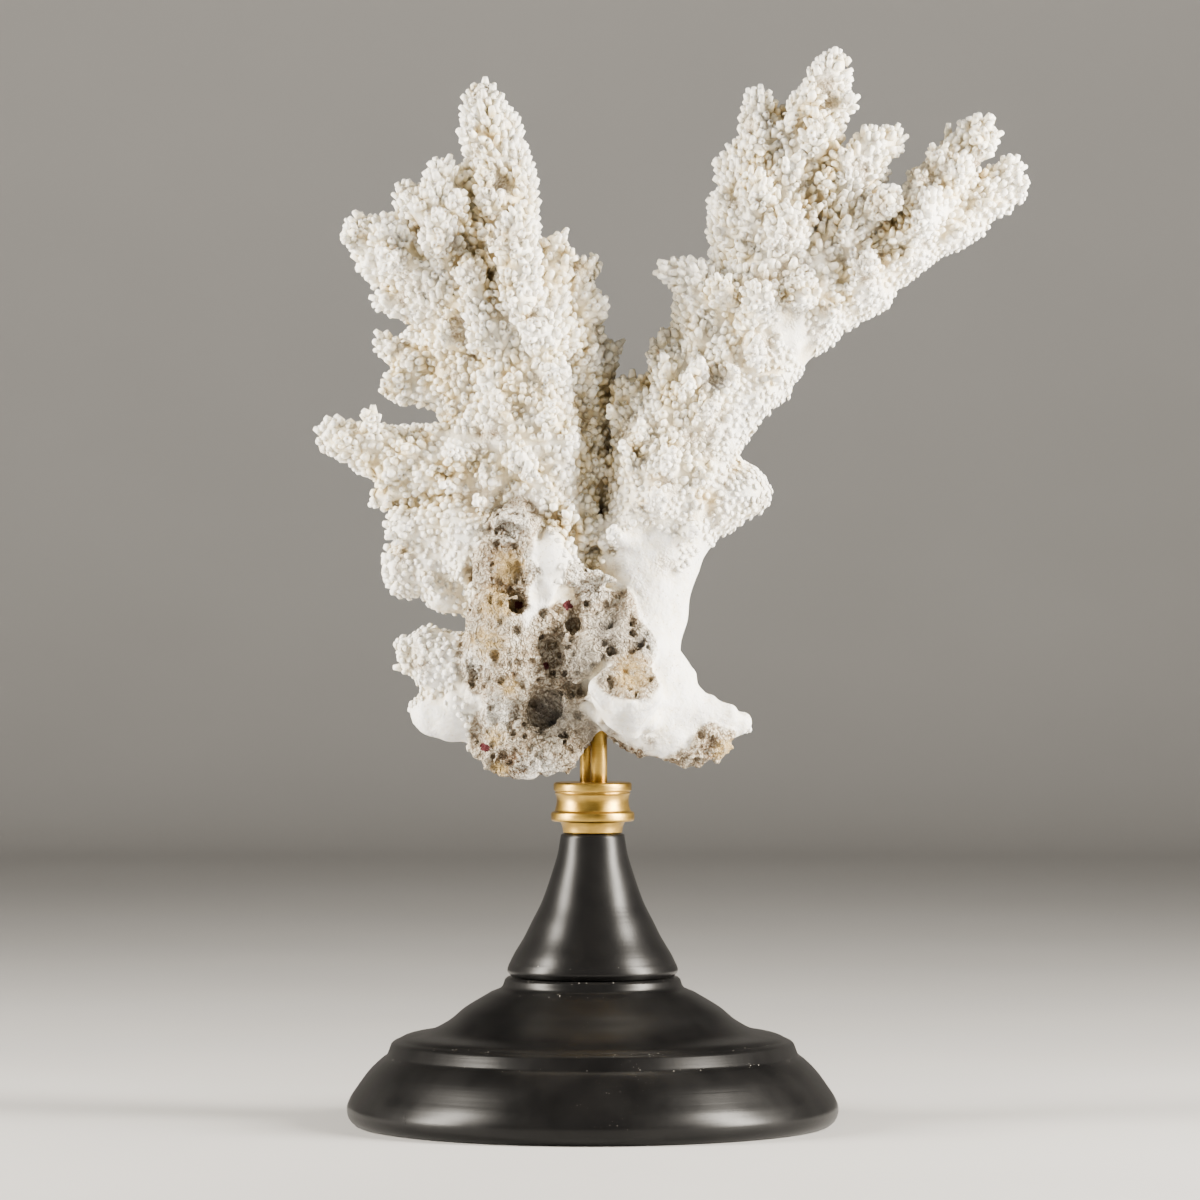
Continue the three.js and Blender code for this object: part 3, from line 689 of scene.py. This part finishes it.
# %% [markdown]
# ## The cups
#
# The living coral sat in thousands of little cups, and they are what makes it look like this one. Each is a
# stubby tube about two millimetres wide that leans toward the tip of its finger. Most have a pit in the end,
# and the rest are domed. They stand shoulder to shoulder on the rough parts, longest high up on the fingers,
# dwindle toward the smooth parts and are gone where the root is eroded. There are about ten thousand, so one
# has only twenty faces, and a whole piece's cups are worked out at once.

# %% A crowd of cups
CUP_SIDES = 6
CUP_SPACING = 2.25
CUP_RADIUS = 1.18
CUP_LENGTH = 2.15
LONGEST_CUP = 3.4
CUP_RINGS = ((1.4, -0.1), (1.0, 0.55), (0.74, 1.0))
PIT_DEPTH = 0.42


def cup_mesh(feet, ways, radius, length, pitted):
    """Points, quads and triangles of a crowd of cups. Ring k of a cup is a circle round its axis, at its
    height times the ring's share and with its radius times the ring's share; one more point, below the last
    ring in a pitted cup and above it in a domed one, closes the end. Also gives each point's cup number, and
    whether it is a pit's bottom."""
    count = len(feet)
    spare = np.where(np.abs(ways[:, 2:]) < 0.8, (0.0, 0.0, 1.0), (1.0, 0.0, 0.0))
    across = np.cross(ways, spare)
    across /= np.linalg.norm(across, axis=1, keepdims=True)
    along = np.cross(ways, across)
    angle = np.linspace(0, 2 * np.pi, CUP_SIDES, endpoint=False) + rng.random((count, 1)) * np.pi
    circle = np.cos(angle)[..., None] * across[:, None] + np.sin(angle)[..., None] * along[:, None]
    wobble = 1 + 0.16 * rng.standard_normal((count, CUP_SIDES, 1)).clip(-1.5, 1.5)
    rings = [
        feet[:, None] + ways[:, None] * (height * length)[:, None, None]
        + circle * wobble * (width * radius)[:, None, None]
        for width, height in CUP_RINGS
    ]
    end = 1 + np.where(pitted, -PIT_DEPTH, 0.12)
    tip = feet + ways * (end * length)[:, None]
    points = np.concatenate([*rings, tip[:, None]], axis=1)
    per_cup = points.shape[1]
    start = np.arange(count)[:, None, None] * per_cup
    side = np.arange(CUP_SIDES)
    after = (side + 1) % CUP_SIDES
    bands = [
        np.stack([side + k * CUP_SIDES, after + k * CUP_SIDES,
                  after + (k + 1) * CUP_SIDES, side + (k + 1) * CUP_SIDES], axis=1)
        for k in range(len(CUP_RINGS) - 1)
    ]
    last = (len(CUP_RINGS) - 1) * CUP_SIDES
    fan = np.stack([side + last, after + last, np.full(CUP_SIDES, per_cup - 1)], axis=1)
    floor_quads = np.array([[0, 3, 2, 1], [0, 5, 4, 3]])
    quads = (start + np.concatenate([*bands, floor_quads])).reshape(-1, 4)
    triangles = (start + fan).reshape(-1, 3)
    number = np.repeat(np.arange(count), per_cup)
    height = np.tile([0.0] * CUP_SIDES + [0.55] * CUP_SIDES + [1.0] * CUP_SIDES + [1.0], count)
    bottom = np.zeros((count, per_cup))
    bottom[:, -1] = pitted
    return points.reshape(-1, 3), quads, triangles, number, height, bottom.ravel()


# %% Stains, and painted shade in some hollows and pockets, as round patches with ragged borders, in millimetres
# Ochre stains, some of them painted shade in small pockets of the fingers.
OCHRE = [
    [-35, 190, 10], [-38, 176, 10], [-35, 143, 6], [14, 165, 10], [-30, 204, 9], [8, 128, 8],
    [-38, 330, 5], [103, 335, 6], [78, 303, 7], [65, 306, 5], [103, 308, 6], [66, 345, 6],
    [-8, 262, 8], [5, 236, 8], [16, 280, 7], [44, 228, 7],
    [-30, 160, 6], [4, 150, 6], [-34, 130, 5], [48, 137, 7],
]
# Brown dirt; the spots at x -18, z 152 and x -29, z 164 paint the shadow in the root's two dark hollows.
BROWN = [
    [-33, 207, 9], [-34, 194, 9], [4, 178, 7], [46, 136, 10], [12, 166, 8], [-18, 152, 6],
    [-29, 164, 4], [14, 133, 12], [-30, 131, 10], [-8, 164, 6],
]
# Grey dirt, and painted shade over the middle of the root from the wide spots there.
GREY = [
    [6, 180, 12], [75, 343, 8], [82, 328, 6], [-50, 322, 6], [-6, 150, 9], [20, 178, 9], [-2, 168, 14],
    [-14, 150, 13], [2, 146, 12],
]
RED = [[-39, 138, 3.4], [-27, 190, 3.0], [-9, 190, 3.2], [-17, 168, 2.4]]
CHALK = [
    [0, 200, 12], [-30, 219, 10], [-22, 204, 7], [-42, 170, 8], [-34, 150, 10], [26, 176, 10],
    [-20, 128, 12],
]


def spots(places, points, edge):
    """1 well inside any of the round spots (x, z, radius) on the front of the coral, with a soft rim."""
    most = np.zeros(len(points), dtype=np.float32)
    for x, z, radius in places:
        away = np.hypot(points[:, 0] - x, points[:, 2] - z) / radius
        most = np.maximum(most, smoothstep(1, 1 - edge, away))
    return most * smoothstep(2, -6, points[:, 1])


def marks_at(points, normals, opening):
    """What the materials read: how eroded and how smooth a point is, how far it lies in a recess or a small
    hole, which the finish paints as shade, and its stains, some of which paint shade as well. opening is the
    field a little way out from the surface over that way, 1 where the air is open."""
    ragged = 0.35 * waves(points, 4) + 0.2 * waves(points, 1.8)
    return {
        "wear": eroded_at(points),
        "smooth": smooth_at(points, normals),
        # Painted shade: these two say how shut in a point is, close by and farther out, and the finish
        # darkens such places.
        "cavity_shade": np.clip(1.05 - opening[0], 0, 1),
        "recess_shade": np.clip(1.08 - 0.5 * opening[1] - 0.5 * opening[2], 0, 1),
        "ochre": np.clip(spots(OCHRE, points, 0.9) + 0.6 * ragged, 0, 1),
        "brown": np.clip(spots(BROWN, points, 0.7) + ragged, 0, 1),
        "grey": np.clip(spots(GREY, points, 0.8) + 0.5 * ragged, 0, 1),
        "red": np.clip(spots(RED, points, 0.9) + 0.5 * ragged, 0, 1),
        "chalk": np.clip(spots(CHALK, points, 0.7) + 0.5 * ragged, 0, 1),
    }


# %% Every coral piece: its body with its cups
def make_coral(name, cell):
    """Grows one piece, crowds cups on the part of it that shows, and makes one mesh of both."""
    body = grow_piece(name, cell)
    marks = marks_at(body["points"], body["normals"], body["open"])
    bare = np.maximum(smoothstep(0.1, 0.4, marks["wear"]), smoothstep(0.2, 0.75, marks["smooth"]))
    rough = np.nonzero((body["past"] < -0.6) & (bare < 0.8))[0]
    seat = rough[pick_even(body["points"][rough], CUP_SPACING, rng)]
    feet, normals = body["points"][seat], body["normals"][seat]
    ways = normals + 0.95 * growth_at(limbs, feet) + 0.22 * rng.standard_normal(feet.shape)
    ways /= np.linalg.norm(ways, axis=1, keepdims=True)
    size = (1 - 0.2 * bare[seat]) * (1 + 0.14 * rng.standard_normal(len(seat)).clip(-1.5, 1.5))
    length = CUP_LENGTH * size * (1 - 0.8 * bare[seat]) * (0.75 + 0.45 * rng.random(len(seat)))
    length *= 0.85 + 0.5 * smoothstep(240, 330, feet[:, 2])
    length *= np.where(rng.random(len(seat)) < 0.12, 1.35, 1)
    length = np.minimum(length, LONGEST_CUP)
    pitted = rng.random(len(seat)) < 0.7
    points, quads, triangles, number, height, bottom = cup_mesh(feet, ways, CUP_RADIUS * size, length, pitted)
    base = len(body["points"])
    piece = make_piece(
        name, np.concatenate([body["points"], points]),
        [np.concatenate([body["quads"], base + quads]), base + triangles], [name],
        {mark: np.concatenate([values, values[seat][number]]) for mark, values in marks.items()}
        | {"cup": np.concatenate([np.zeros(base), height]), "pit": np.concatenate([np.zeros(base), bottom])},
    )
    faces = 2 * len(body["quads"]) + 2 * len(quads) + len(triangles)
    print(name, len(seat), "cups,", body["pits"], "pits,", faces, "triangles")
    return piece, faces


coral = {}
coral_faces = 0
for name in PIECES:
    coral[name], faces = make_coral(name, FINE if name in ("coral_root", "coral_right_foot") else MIDDLING)
    coral_faces += faces
print("the coral has", coral_faces, "triangles")

# %% [markdown]
# ## The turned stand
#
# Foot, neck and collar were all turned on a lathe, so each is half an outline carried round the axis. The
# outline comes in stretches: along one the line is smooth, and where two meet there is an edge, which is
# broken by a fraction of a millimetre, as sandpaper and lacquer leave it. Heights and widths are scaled to
# the solid, so the pieces can't drift from the frame.

# %% Turning an outline
TURNS = 160


def smooth_line(stations, per_span):
    """A smooth line through all the stations, with per_span points from one to the next."""
    stations = np.array(stations, dtype=float)
    if len(stations) == 2:
        return stations
    before = np.concatenate([2 * stations[:1] - stations[1:2], stations[:-2]])
    after = np.concatenate([stations[2:], 2 * stations[-1:] - stations[-2:-1]])
    share = (np.arange(per_span) / per_span)[None, :, None]
    a, b, c, d = (line[:, None] for line in (before, stations[:-1], stations[1:], after))
    line = b + 0.5 * share * (c - a + share * (2 * a - 5 * b + 4 * c - d + share * (3 * (b - c) + d - a)))
    return np.concatenate([line.reshape(-1, 2), stations[-1:]])


def outline(stretches, edge=0.35, per_span=5):
    """One line of (radius, height) from stretches that meet in edges, each edge broken with a short slope."""
    line = []
    for stretch in stretches:
        points = smooth_line(stretch, per_span)
        for inner, place in ((points[1], 0), (points[-2], -1)):
            way = inner - points[place]
            points[place] = points[place] + way * min(edge / np.linalg.norm(way), 0.4)
        line.append(points)
    return np.concatenate(line)


def turned(name, stretches, edge=0.35):
    """A closed turned piece: point (angle, k) is at outline radius k, turned round the axis by the angle. The
    outline starts and ends on the axis. It is scaled to the height and width of the solid it stands for."""
    line = outline(stretches, edge)
    (low, high) = (np.array(corner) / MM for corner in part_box(name))
    line[:, 0] *= (high[0] - low[0]) / 2 / line[:, 0].max()
    line[:, 1] = low[2] + (line[:, 1] - line[:, 1].min()) * (high[2] - low[2]) / np.ptp(line[:, 1])
    ends = line[[0, -1]]
    line = line[1:-1]
    angle = np.linspace(0, 2 * np.pi, TURNS, endpoint=False)
    rings = np.stack([
        np.outer(line[:, 0], np.cos(angle)), np.outer(line[:, 0], np.sin(angle)),
        np.repeat(line[:, 1:], TURNS, axis=1),
    ], axis=2).reshape(-1, 3)
    poles = np.column_stack([np.zeros((2, 2)), ends[:, 1]])
    points = np.concatenate([rings, poles])
    ring = np.arange(len(line) - 1)[:, None] * TURNS
    side = np.arange(TURNS)[None]
    after = (side + 1) % TURNS
    quads = np.stack([ring + side, ring + after, ring + TURNS + after, ring + TURNS + side], axis=2)
    top = (len(line) - 1) * TURNS
    first, last = len(rings), len(rings) + 1
    fans = np.concatenate([
        np.column_stack([after[0], side[0], np.full(TURNS, first)]),
        np.column_stack([top + side[0], top + after[0], np.full(TURNS, last)]),
    ])
    return make_piece(name, points, [quads.reshape(-1, 4), fans], [name])


# %% The foot: a fat ring at the bottom, a narrow band, a sweep up and a small step
foot = turned("wooden_foot", [
    [(0, 0), (85, 0)],
    [(85, 0), (87.4, 0.6), (89.4, 3), (90, 6.5), (88.6, 10.2), (86.3, 13.7), (82.2, 19.3), (78, 23.5),
     (75.5, 25.4)],
    [(75.2, 25.6), (73.6, 29.9)],
    [(73.2, 30.2), (71.6, 31)],
    [(71.4, 31), (68, 32.6), (59.4, 34.4), (52.4, 38.1), (46.5, 42.9), (37, 48.6)],
    [(35.8, 49), (33.2, 50.4), (32, 53.4)],
    [(31.6, 53.9), (0, 53.9)],
])

# %% The neck: a bead at the bottom, then a bell that narrows to the collar
neck = turned("wooden_neck", [
    [(0, 54.2), (29.6, 54.2)],
    [(29.8, 54.2), (31.2, 56.2), (30.6, 58.9)],
    [(30.4, 59.1), (28.7, 62.5), (25.1, 68.5), (22, 74.7), (18.9, 80.8), (16.6, 86.9), (14.6, 93),
     (12.8, 99.1), (11.6, 106.3)],
    [(11.4, 106.3), (0, 106.3)],
])

# %% The collar: a cone, a thick rim, a hollow waist and a smaller rim with a groove
collar = turned("brass_collar", [
    [(0, 106.6), (10.6, 106.6)],
    [(10.8, 106.6), (11.2, 109), (11.9, 110.7)],
    [(12, 110.8), (14.6, 110.9)],
    [(14.8, 110.9), (15.3, 111.6), (15.3, 113.7), (14.8, 114.4)],
    [(14.6, 114.4), (13.9, 115), (13.2, 118), (13.5, 120.4), (14, 121.2)],
    [(14, 121.2), (13.75, 121.4), (13.75, 121.8), (14.1, 122)],
    [(14.2, 122), (14.3, 122.6), (14.3, 124.5), (13.7, 125.2)],
    [(13.5, 125.2), (0, 125.2)],
], edge=0.12)

# %% The two rods that carry the coral: a straight bar between the ends of its solid
def rod(name):
    """A round bar with broken edges, standing where the solid of that name stands."""
    low, high = (np.array(corner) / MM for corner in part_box(name))
    middle = (low + high) / 2
    radius = (high[0] - low[0]) / 2
    piece = turned(name, [
        [(0, low[2]), (radius, low[2])],
        [(radius, low[2]), (radius, high[2])],
        [(radius, high[2]), (0, high[2])],
    ])
    points = np.empty(len(piece.data.vertices) * 3, dtype=np.float32)
    piece.data.vertices.foreach_get("co", points)
    points = points.reshape(-1, 3) + (middle * (1, 1, 0) * MM).astype(np.float32)
    piece.data.vertices.foreach_set("co", points.ravel())
    piece.data.update()
    return piece


rods = [rod("brass_rod_front"), rod("brass_rod_back")]
print("stand of", 3 + len(rods), "turned pieces")

# %% [markdown]
# ## A small language for finishes
#
# A finish is arithmetic on values that change over the surface. The class below wraps one value of a
# material, so that plus, minus and times write the nodes, and anything else is one call.

# %% Values that write their own nodes
class Value:
    """A number, colour or vector in a material. Arithmetic on it adds the nodes that work it out."""

    def __init__(self, tree, socket):
        self.tree, self.socket = tree, socket

    def node(self, kind, inputs, output=0, **settings):
        """Any node: its settings, then its inputs by name or number, and the value of one of its outputs."""
        made = self.tree.nodes.new(kind)
        for name, setting in settings.items():
            setattr(made, name, setting)
        for name, value in inputs.items():
            if isinstance(value, Value):
                self.tree.links.new(value.socket, made.inputs[name])
            else:
                made.inputs[name].default_value = value
        return Value(self.tree, made.outputs[output])

    def maths(self, operation, *others, clamp=False):
        inputs = dict(enumerate((self, *others)))
        return self.node("ShaderNodeMath", inputs, operation=operation, use_clamp=clamp)

    def __add__(self, other):
        return self.maths("ADD", other)

    def __sub__(self, other):
        return self.maths("SUBTRACT", other)

    def __rsub__(self, other):
        return self.maths("MULTIPLY_ADD", -1.0, other)

    def __mul__(self, other):
        return self.maths("MULTIPLY", other)

    __radd__ = __add__
    __rmul__ = __mul__

    def between(self, low, high):
        """0 up to low, 1 from high (low may be the greater), and a smooth rise between."""
        inputs = {"Value": self, "From Min": low, "From Max": high}
        return self.node("ShaderNodeMapRange", inputs, interpolation_type="SMOOTHSTEP")

    def clamped(self):
        return self.maths("ADD", 0.0, clamp=True)

    def choose(self, low_colour, high_colour):
        """A colour: the first where this value is 0, the second where it is 1."""
        inputs = {0: self}
        for number, colour in ((6, low_colour), (7, high_colour)):
            inputs[number] = colour if isinstance(colour, Value) else (*colour, 1.0)
        return self.node("ShaderNodeMix", inputs, output=2, data_type="RGBA")

    def scaled(self, scale):
        """A vector stretched by one number, or by one for each direction."""
        factors = (scale, scale, scale) if isinstance(scale, (int, float)) else scale
        return self.node("ShaderNodeVectorMath", {0: self, 1: factors}, operation="MULTIPLY")

    def noise(self, size, detail=2.0, roughness=0.5):
        """Clouds of about that size where this value is a place in millimetres, from 0 to 1."""
        inputs = {"Vector": self, "Scale": 1 / size, "Detail": detail, "Roughness": roughness}
        return self.node("ShaderNodeTexNoise", inputs)

    def cells(self, size):
        """Distance to the middle of the nearest of many random cells of about that size, 0 in the middle."""
        return self.node("ShaderNodeTexVoronoi", {"Vector": self, "Scale": 1 / size})


def new_finish(name, **uniform):
    """A material with its main shader's plain numbers set: the material, the shader, the place in
    millimetres, and a function that reads a named mark of the surface."""
    material = bpy.data.materials.new(name)
    material.use_nodes = True
    tree = material.node_tree
    shader = tree.nodes["Principled BSDF"]
    for socket, number in uniform.items():
        shader.inputs[socket.replace("_", " ")].default_value = number
    place = Value(tree, tree.nodes.new("ShaderNodeTexCoord").outputs["Object"]).scaled(1 / MM)

    def mark(mark_name):
        return place.node("ShaderNodeAttribute", {}, output="Fac", attribute_name=mark_name)

    return material, shader, place, mark


def connect(shader, **values):
    """Joins values to the main shader's sockets."""
    for socket, value in values.items():
        value.tree.links.new(value.socket, shader.inputs[socket.replace("_", " ")])


def bumped(height, depth_mm):
    """The bent normal of a surface raised by height (0 to 1) times a depth in millimetres."""
    inputs = {"Height": height, "Distance": depth_mm * MM, "Strength": 1.0}
    return height.node("ShaderNodeBump", inputs)


# %% [markdown]
# ## The coral's finish
#
# Clean coral is matt and white like plaster, creamy in broad random clouds. Shade is painted into it too:
# creamier, then tan, in the recesses and between the cups, with the cups' tops painted whitest and the
# pits in them darkest. The smooth parts are a purer white with pinholes, painted creamier in their
# recesses. The eroded root is pale grey and beige, crumbly, chalky in places, with brown and grey dirt in
# its holes, ochre rust-like stains and a few dark red spots of a crust that grew on it. It is painted
# darker in its recesses and holes, some brown spots paint the shadow in its hollows, some grey ones the
# shade of its middle, and some ochre ones the shade of small pockets in the fingers.

# %% The coral's finish
WHITE = (0.89, 0.86, 0.785)
PURE_WHITE = (0.88, 0.865, 0.83)
CREAM = (0.80, 0.695, 0.46)
TAN = (0.54, 0.43, 0.25)
STONE_PALE = (0.60, 0.535, 0.43)
STONE_MIDDLE = (0.32, 0.255, 0.175)
STONE_DARK = (0.17, 0.125, 0.08)
BROWN_DIRT_AND_SHADE = (0.11, 0.058, 0.024)
OCHRE_STAIN_AND_SHADE = (0.47, 0.33, 0.135)
GREY_DIRT_AND_SHADE = (0.23, 0.22, 0.20)
DARK_RED = (0.07, 0.002, 0.006)


def coral_finish(name, glow):
    """glow is how much of the light goes through the surface and comes out beside it."""
    material, shader, place, mark = new_finish(
        name, IOR=1.45, Subsurface_Weight=glow, Subsurface_Radius=(1.0, 0.9, 0.7),
        Subsurface_Scale=2.0 * MM)
    wear, smooth, cavity_shade = mark("wear"), mark("smooth"), mark("cavity_shade")
    cup, pit = mark("cup"), mark("pit")
    # Painted shade: the recess darkening fades up each cup, so a cup is darker at its foot and whiter at its
    # top.
    recess_shade = mark("recess_shade") * (1.0 - cup * 0.6)
    cloud = place.noise(16.0, detail=1.0)
    crumbs = place.noise(1.7, detail=3.0, roughness=0.65)
    pores = place.cells(1.5)

    # Painted shade and light: cream in the recesses and between the cups, the cups' tops whiter; the clouds
    # are the coral's own tone.
    warmth = (recess_shade * 1.9 + (cloud - 0.5) * 1.3 - cup * 0.2).clamped()
    rough_colour = warmth.choose(WHITE, CREAM)
    # Painted shade: tan in the deepest recesses and at the bottoms of the cups' pits.
    rough_colour = recess_shade.between(0.3, 0.85).choose(rough_colour, TAN)
    rough_colour = pit.between(0.25, 0.95).choose(rough_colour, TAN)

    pinholes = pores.between(0.2, 0.1) * place.noise(7.0, detail=1.0).between(0.42, 0.55)
    lumps = place.noise(3.2, detail=2.0, roughness=0.6)
    # Painted shade: the smooth parts go creamier in their recesses; pinholes and lumps are their own tone.
    creamy = recess_shade * 0.7 + pinholes * 0.7 + (0.5 - lumps) * 1.2
    smooth_colour = creamy.clamped().choose(PURE_WHITE, CREAM)

    speckle = place.noise(0.75, detail=2.0, roughness=0.7)
    stir = place.node("ShaderNodeTexNoise", {"Vector": place, "Scale": 0.4, "Detail": 0.0}, output="Color")
    bent = place.node("ShaderNodeVectorMath", {0: place, 1: stir.scaled(2.5)}, operation="ADD")
    grains = bent.cells(1.25)
    # Painted shade: the stone is darker in recesses and small holes; crumbs, speckle and grains are its own
    # tone.
    depth = recess_shade * 0.65 + cavity_shade * 0.25 + (0.5 - crumbs) * 2.0 + (0.5 - speckle) * 1.6
    depth = depth + (grains - 0.42) * 1.6
    stone_colour = depth.between(-0.05, 0.5).choose(STONE_PALE, STONE_MIDDLE)
    stone_colour = depth.between(0.45, 1.2).choose(stone_colour, STONE_DARK)
    stone_colour = (mark("chalk") * (1.0 - depth * 0.9)).clamped().choose(stone_colour, WHITE)
    # Brown dirt in the holes, its darkening in recesses and holes partly painted shade.
    crevice = 0.3 + recess_shade * 0.4 + cavity_shade * 0.3 + (0.5 - crumbs) * 4.0 + (0.5 - speckle) * 3.0
    dirt_and_shade = mark("brown") * crevice
    stone_colour = dirt_and_shade.clamped().choose(stone_colour, BROWN_DIRT_AND_SHADE)

    colour = smooth.choose(rough_colour, smooth_colour)
    colour = wear.between(0.05, 0.6).choose(colour, stone_colour)
    patchy = (0.5 - crumbs) * 2.0
    # Ochre stains, stronger in recesses as painted shade.
    rust_and_shade = mark("ochre") * (0.1 + recess_shade * 0.6 + wear * (0.7 + patchy))
    colour = rust_and_shade.clamped().choose(colour, OCHRE_STAIN_AND_SHADE)
    # Grey dirt, stronger in recesses as painted shade.
    greyed = mark("grey") * (0.12 + recess_shade * 0.4 + wear * 0.35)
    colour = greyed.clamped().choose(colour, GREY_DIRT_AND_SHADE)
    colour = (mark("red") + (0.5 - crumbs) * 1.6).between(0.5, 0.62).choose(colour, DARK_RED)

    relief = crumbs * (0.3 + wear * 3.0) + speckle * (wear * 1.6) - grains * (wear * 2.0)
    relief = relief + lumps * (smooth * 0.9) - pinholes * (smooth * 0.8)
    connect(shader, Base_Color=colour, Normal=bumped(relief, 0.8), Roughness=0.66 + wear * 0.22)
    return material


CORAL_FINISH = coral_finish("bleached coral", 0.35)
ROOT_FINISH = coral_finish("eroded coral", 0.04)
for name, piece in coral.items():
    piece.data.materials.append(ROOT_FINISH if name == "coral_root" else CORAL_FINISH)
print("coral finish on", len(coral), "pieces")

# %% [markdown]
# ## Black lacquered wood
#
# The wood is stained and lacquered satin black. It is smooth enough for soft grey highlights, with faint
# rings left by the turning and a film that is a little duller in patches. White dust of the coral has fallen
# on the ledges and stays in the joint, as scattered specks.

# %% The satin black finish
def black_wood_finish(name, ledges):
    """ledges are heights in millimetres where dust gathers."""
    material, shader, place, mark = new_finish(name, IOR=1.5, Specular_IOR_Level=0.2)
    rings = place.scaled((0.02, 0.02, 1.0)).noise(0.9, detail=3.0)
    film = place.noise(18.0, detail=4.0)
    fibres = place.scaled((1.0, 1.0, 0.12)).noise(1.2, detail=3.0)
    height = place.node("ShaderNodeSeparateXYZ", {0: place}, output="Z")
    near = 0.0
    for ledge in ledges:
        near = (height - ledge).maths("ABSOLUTE").between(0.9, 0.2) + near
    specks = place.cells(1.4).between(0.2, 0.11) * place.noise(5.0).between(0.5, 0.62)
    scattered = specks * place.noise(26.0).between(0.6, 0.72)
    dust = (near * specks * 0.55 + scattered * 0.1).clamped()
    black = film.between(0.3, 0.7).choose((0.0030, 0.0029, 0.0030), (0.0052, 0.0050, 0.0050))
    connect(
        shader,
        Base_Color=dust.choose(black, (0.42, 0.4, 0.37)),
        Roughness=(0.22 + film * 0.14 + fibres * 0.05 + dust * 0.4).clamped(),
        Normal=bumped(rings * 0.7 + fibres * 0.3, 0.035),
    )
    return material


BLACK_WOOD = black_wood_finish("satin black wood", (25.5, 31.0, 49.0, 54.0, 59.0))
for piece in (foot, neck):
    piece.data.materials.append(BLACK_WOOD)


# %% [markdown]
# ## Turned brass
#
# The collar and rods are brass, turned and left with the fine lines of the tool running round them. It is
# slightly browner where fingers and polish don't reach.

# %% The brass finish
def brass_finish(name):
    material, shader, place, mark = new_finish(name, Metallic=1.0)
    lines = place.scaled((0.05, 0.05, 1.0)).noise(0.28, detail=4.0, roughness=0.7)
    tarnish = place.noise(7.0, detail=4.0)
    tint = (tarnish * 0.7 + lines * 0.3).between(0.35, 0.7)
    connect(
        shader,
        Base_Color=tint.choose((0.34, 0.205, 0.038), (0.55, 0.36, 0.085)),
        Roughness=0.20 + tarnish * 0.16 + lines * 0.08,
        Normal=bumped(lines, 0.05),
    )
    return material


BRASS = brass_finish("turned brass")
for piece in (collar, *rods):
    piece.data.materials.append(BRASS)

# %% [markdown]
# ## The room
#
# A plain pale floor that curves up all round, two tall warm lights at the sides, the right one stronger, a
# weak one in front, and a little light from everywhere. The camera stands level with the middle of the
# coral, far off, straight in front: that is the photograph's viewing angle, found from the foot's rings.

# %% Floor and lights
def floor_finish():
    material, shader, place, mark = new_finish("pale floor")
    shade = place.noise(240.0, detail=3.0)
    connect(shader, Base_Color=shade.choose((0.42, 0.415, 0.41), (0.47, 0.465, 0.46)),
            Roughness=0.55 + shade * 0.2)
    return material


ROOM_RADIUS, BEND, WALL_TOP, ROOM_SIDES = 3000.0, 800.0, 1500.0, 96
turn = np.linspace(0, np.pi / 2, 13)
line = np.column_stack([ROOM_RADIUS - BEND + BEND * np.sin(turn), BEND - BEND * np.cos(turn)])
line = np.concatenate([line, [(ROOM_RADIUS, WALL_TOP)]])
round_angle = np.linspace(0, 2 * np.pi, ROOM_SIDES, endpoint=False)
floor_points = np.stack([
    line[:, :1] * np.cos(round_angle),
    line[:, :1] * np.sin(round_angle),
    np.repeat(line[:, 1:], ROOM_SIDES, axis=1),
], axis=2).reshape(-1, 3)
here = np.arange(ROOM_SIDES)
beside = (here + 1) % ROOM_SIDES
wall_faces = np.concatenate([
    np.stack([here, here + ROOM_SIDES, beside + ROOM_SIDES, beside], axis=1) + k * ROOM_SIDES
    for k in range(len(line) - 1)
])
floor_mesh = bpy.data.meshes.new("floor")
floor_mesh.from_pydata((floor_points * MM).tolist(), [], [here.tolist()] + wall_faces.tolist())
floor_mesh.shade_smooth()
floor_mesh.materials.append(floor_finish())
floor = bpy.data.objects.new("floor", floor_mesh)
bpy.context.scene.collection.objects.link(floor)


def soft_light(name, place, target, width, height, power, colour=(1.0, 1.0, 1.0)):
    """A flat light of that size at a place, turned to a target, all in millimetres."""
    light = bpy.data.lights.new(name, "AREA")
    light.shape = "RECTANGLE"
    light.size = width * MM
    light.size_y = height * MM
    light.energy = power
    light.color = colour
    lamp = bpy.data.objects.new(name, light)
    bpy.context.scene.collection.objects.link(lamp)
    lamp.location = [value * MM for value in place]
    way = Vector(target) - Vector(place)
    lamp.rotation_euler = way.to_track_quat("-Z", "Y").to_euler()
    return lamp


MIDDLE = (0, 0, 200)
soft_light("right light", (980, -330, 460), MIDDLE, 280, 860, 90, (1.0, 0.935, 0.83))
soft_light("left light", (-1000, -250, 460), MIDDLE, 280, 860, 60, (1.0, 0.935, 0.83))
soft_light("front light", (-200, -1500, 900), MIDDLE, 900, 900, 0.5)
world = bpy.context.scene.world or bpy.data.worlds.new("room")
bpy.context.scene.world = world
world.use_nodes = True
world.node_tree.nodes["Background"].inputs["Color"].default_value = (1.0, 0.98, 0.95, 1.0)
world.node_tree.nodes["Background"].inputs["Strength"].default_value = 0.01

# %% The camera
CAMERA_SIDE, CAMERA_AWAY, CAMERA_HEIGHT = 2.7, 2082.0, 191.8
SEEN_WIDTH = 439.2
SENSOR = 36.0
view = bpy.data.cameras.new("camera")
view.sensor_width = SENSOR
view.lens = SENSOR * CAMERA_AWAY / SEEN_WIDTH
view.clip_end = 20
camera = bpy.data.objects.new("camera", view)
bpy.context.scene.collection.objects.link(camera)
camera.location = (CAMERA_SIDE * MM, -CAMERA_AWAY * MM, CAMERA_HEIGHT * MM)
camera.rotation_euler = (math.radians(90), 0, 0)
bpy.context.scene.camera = camera
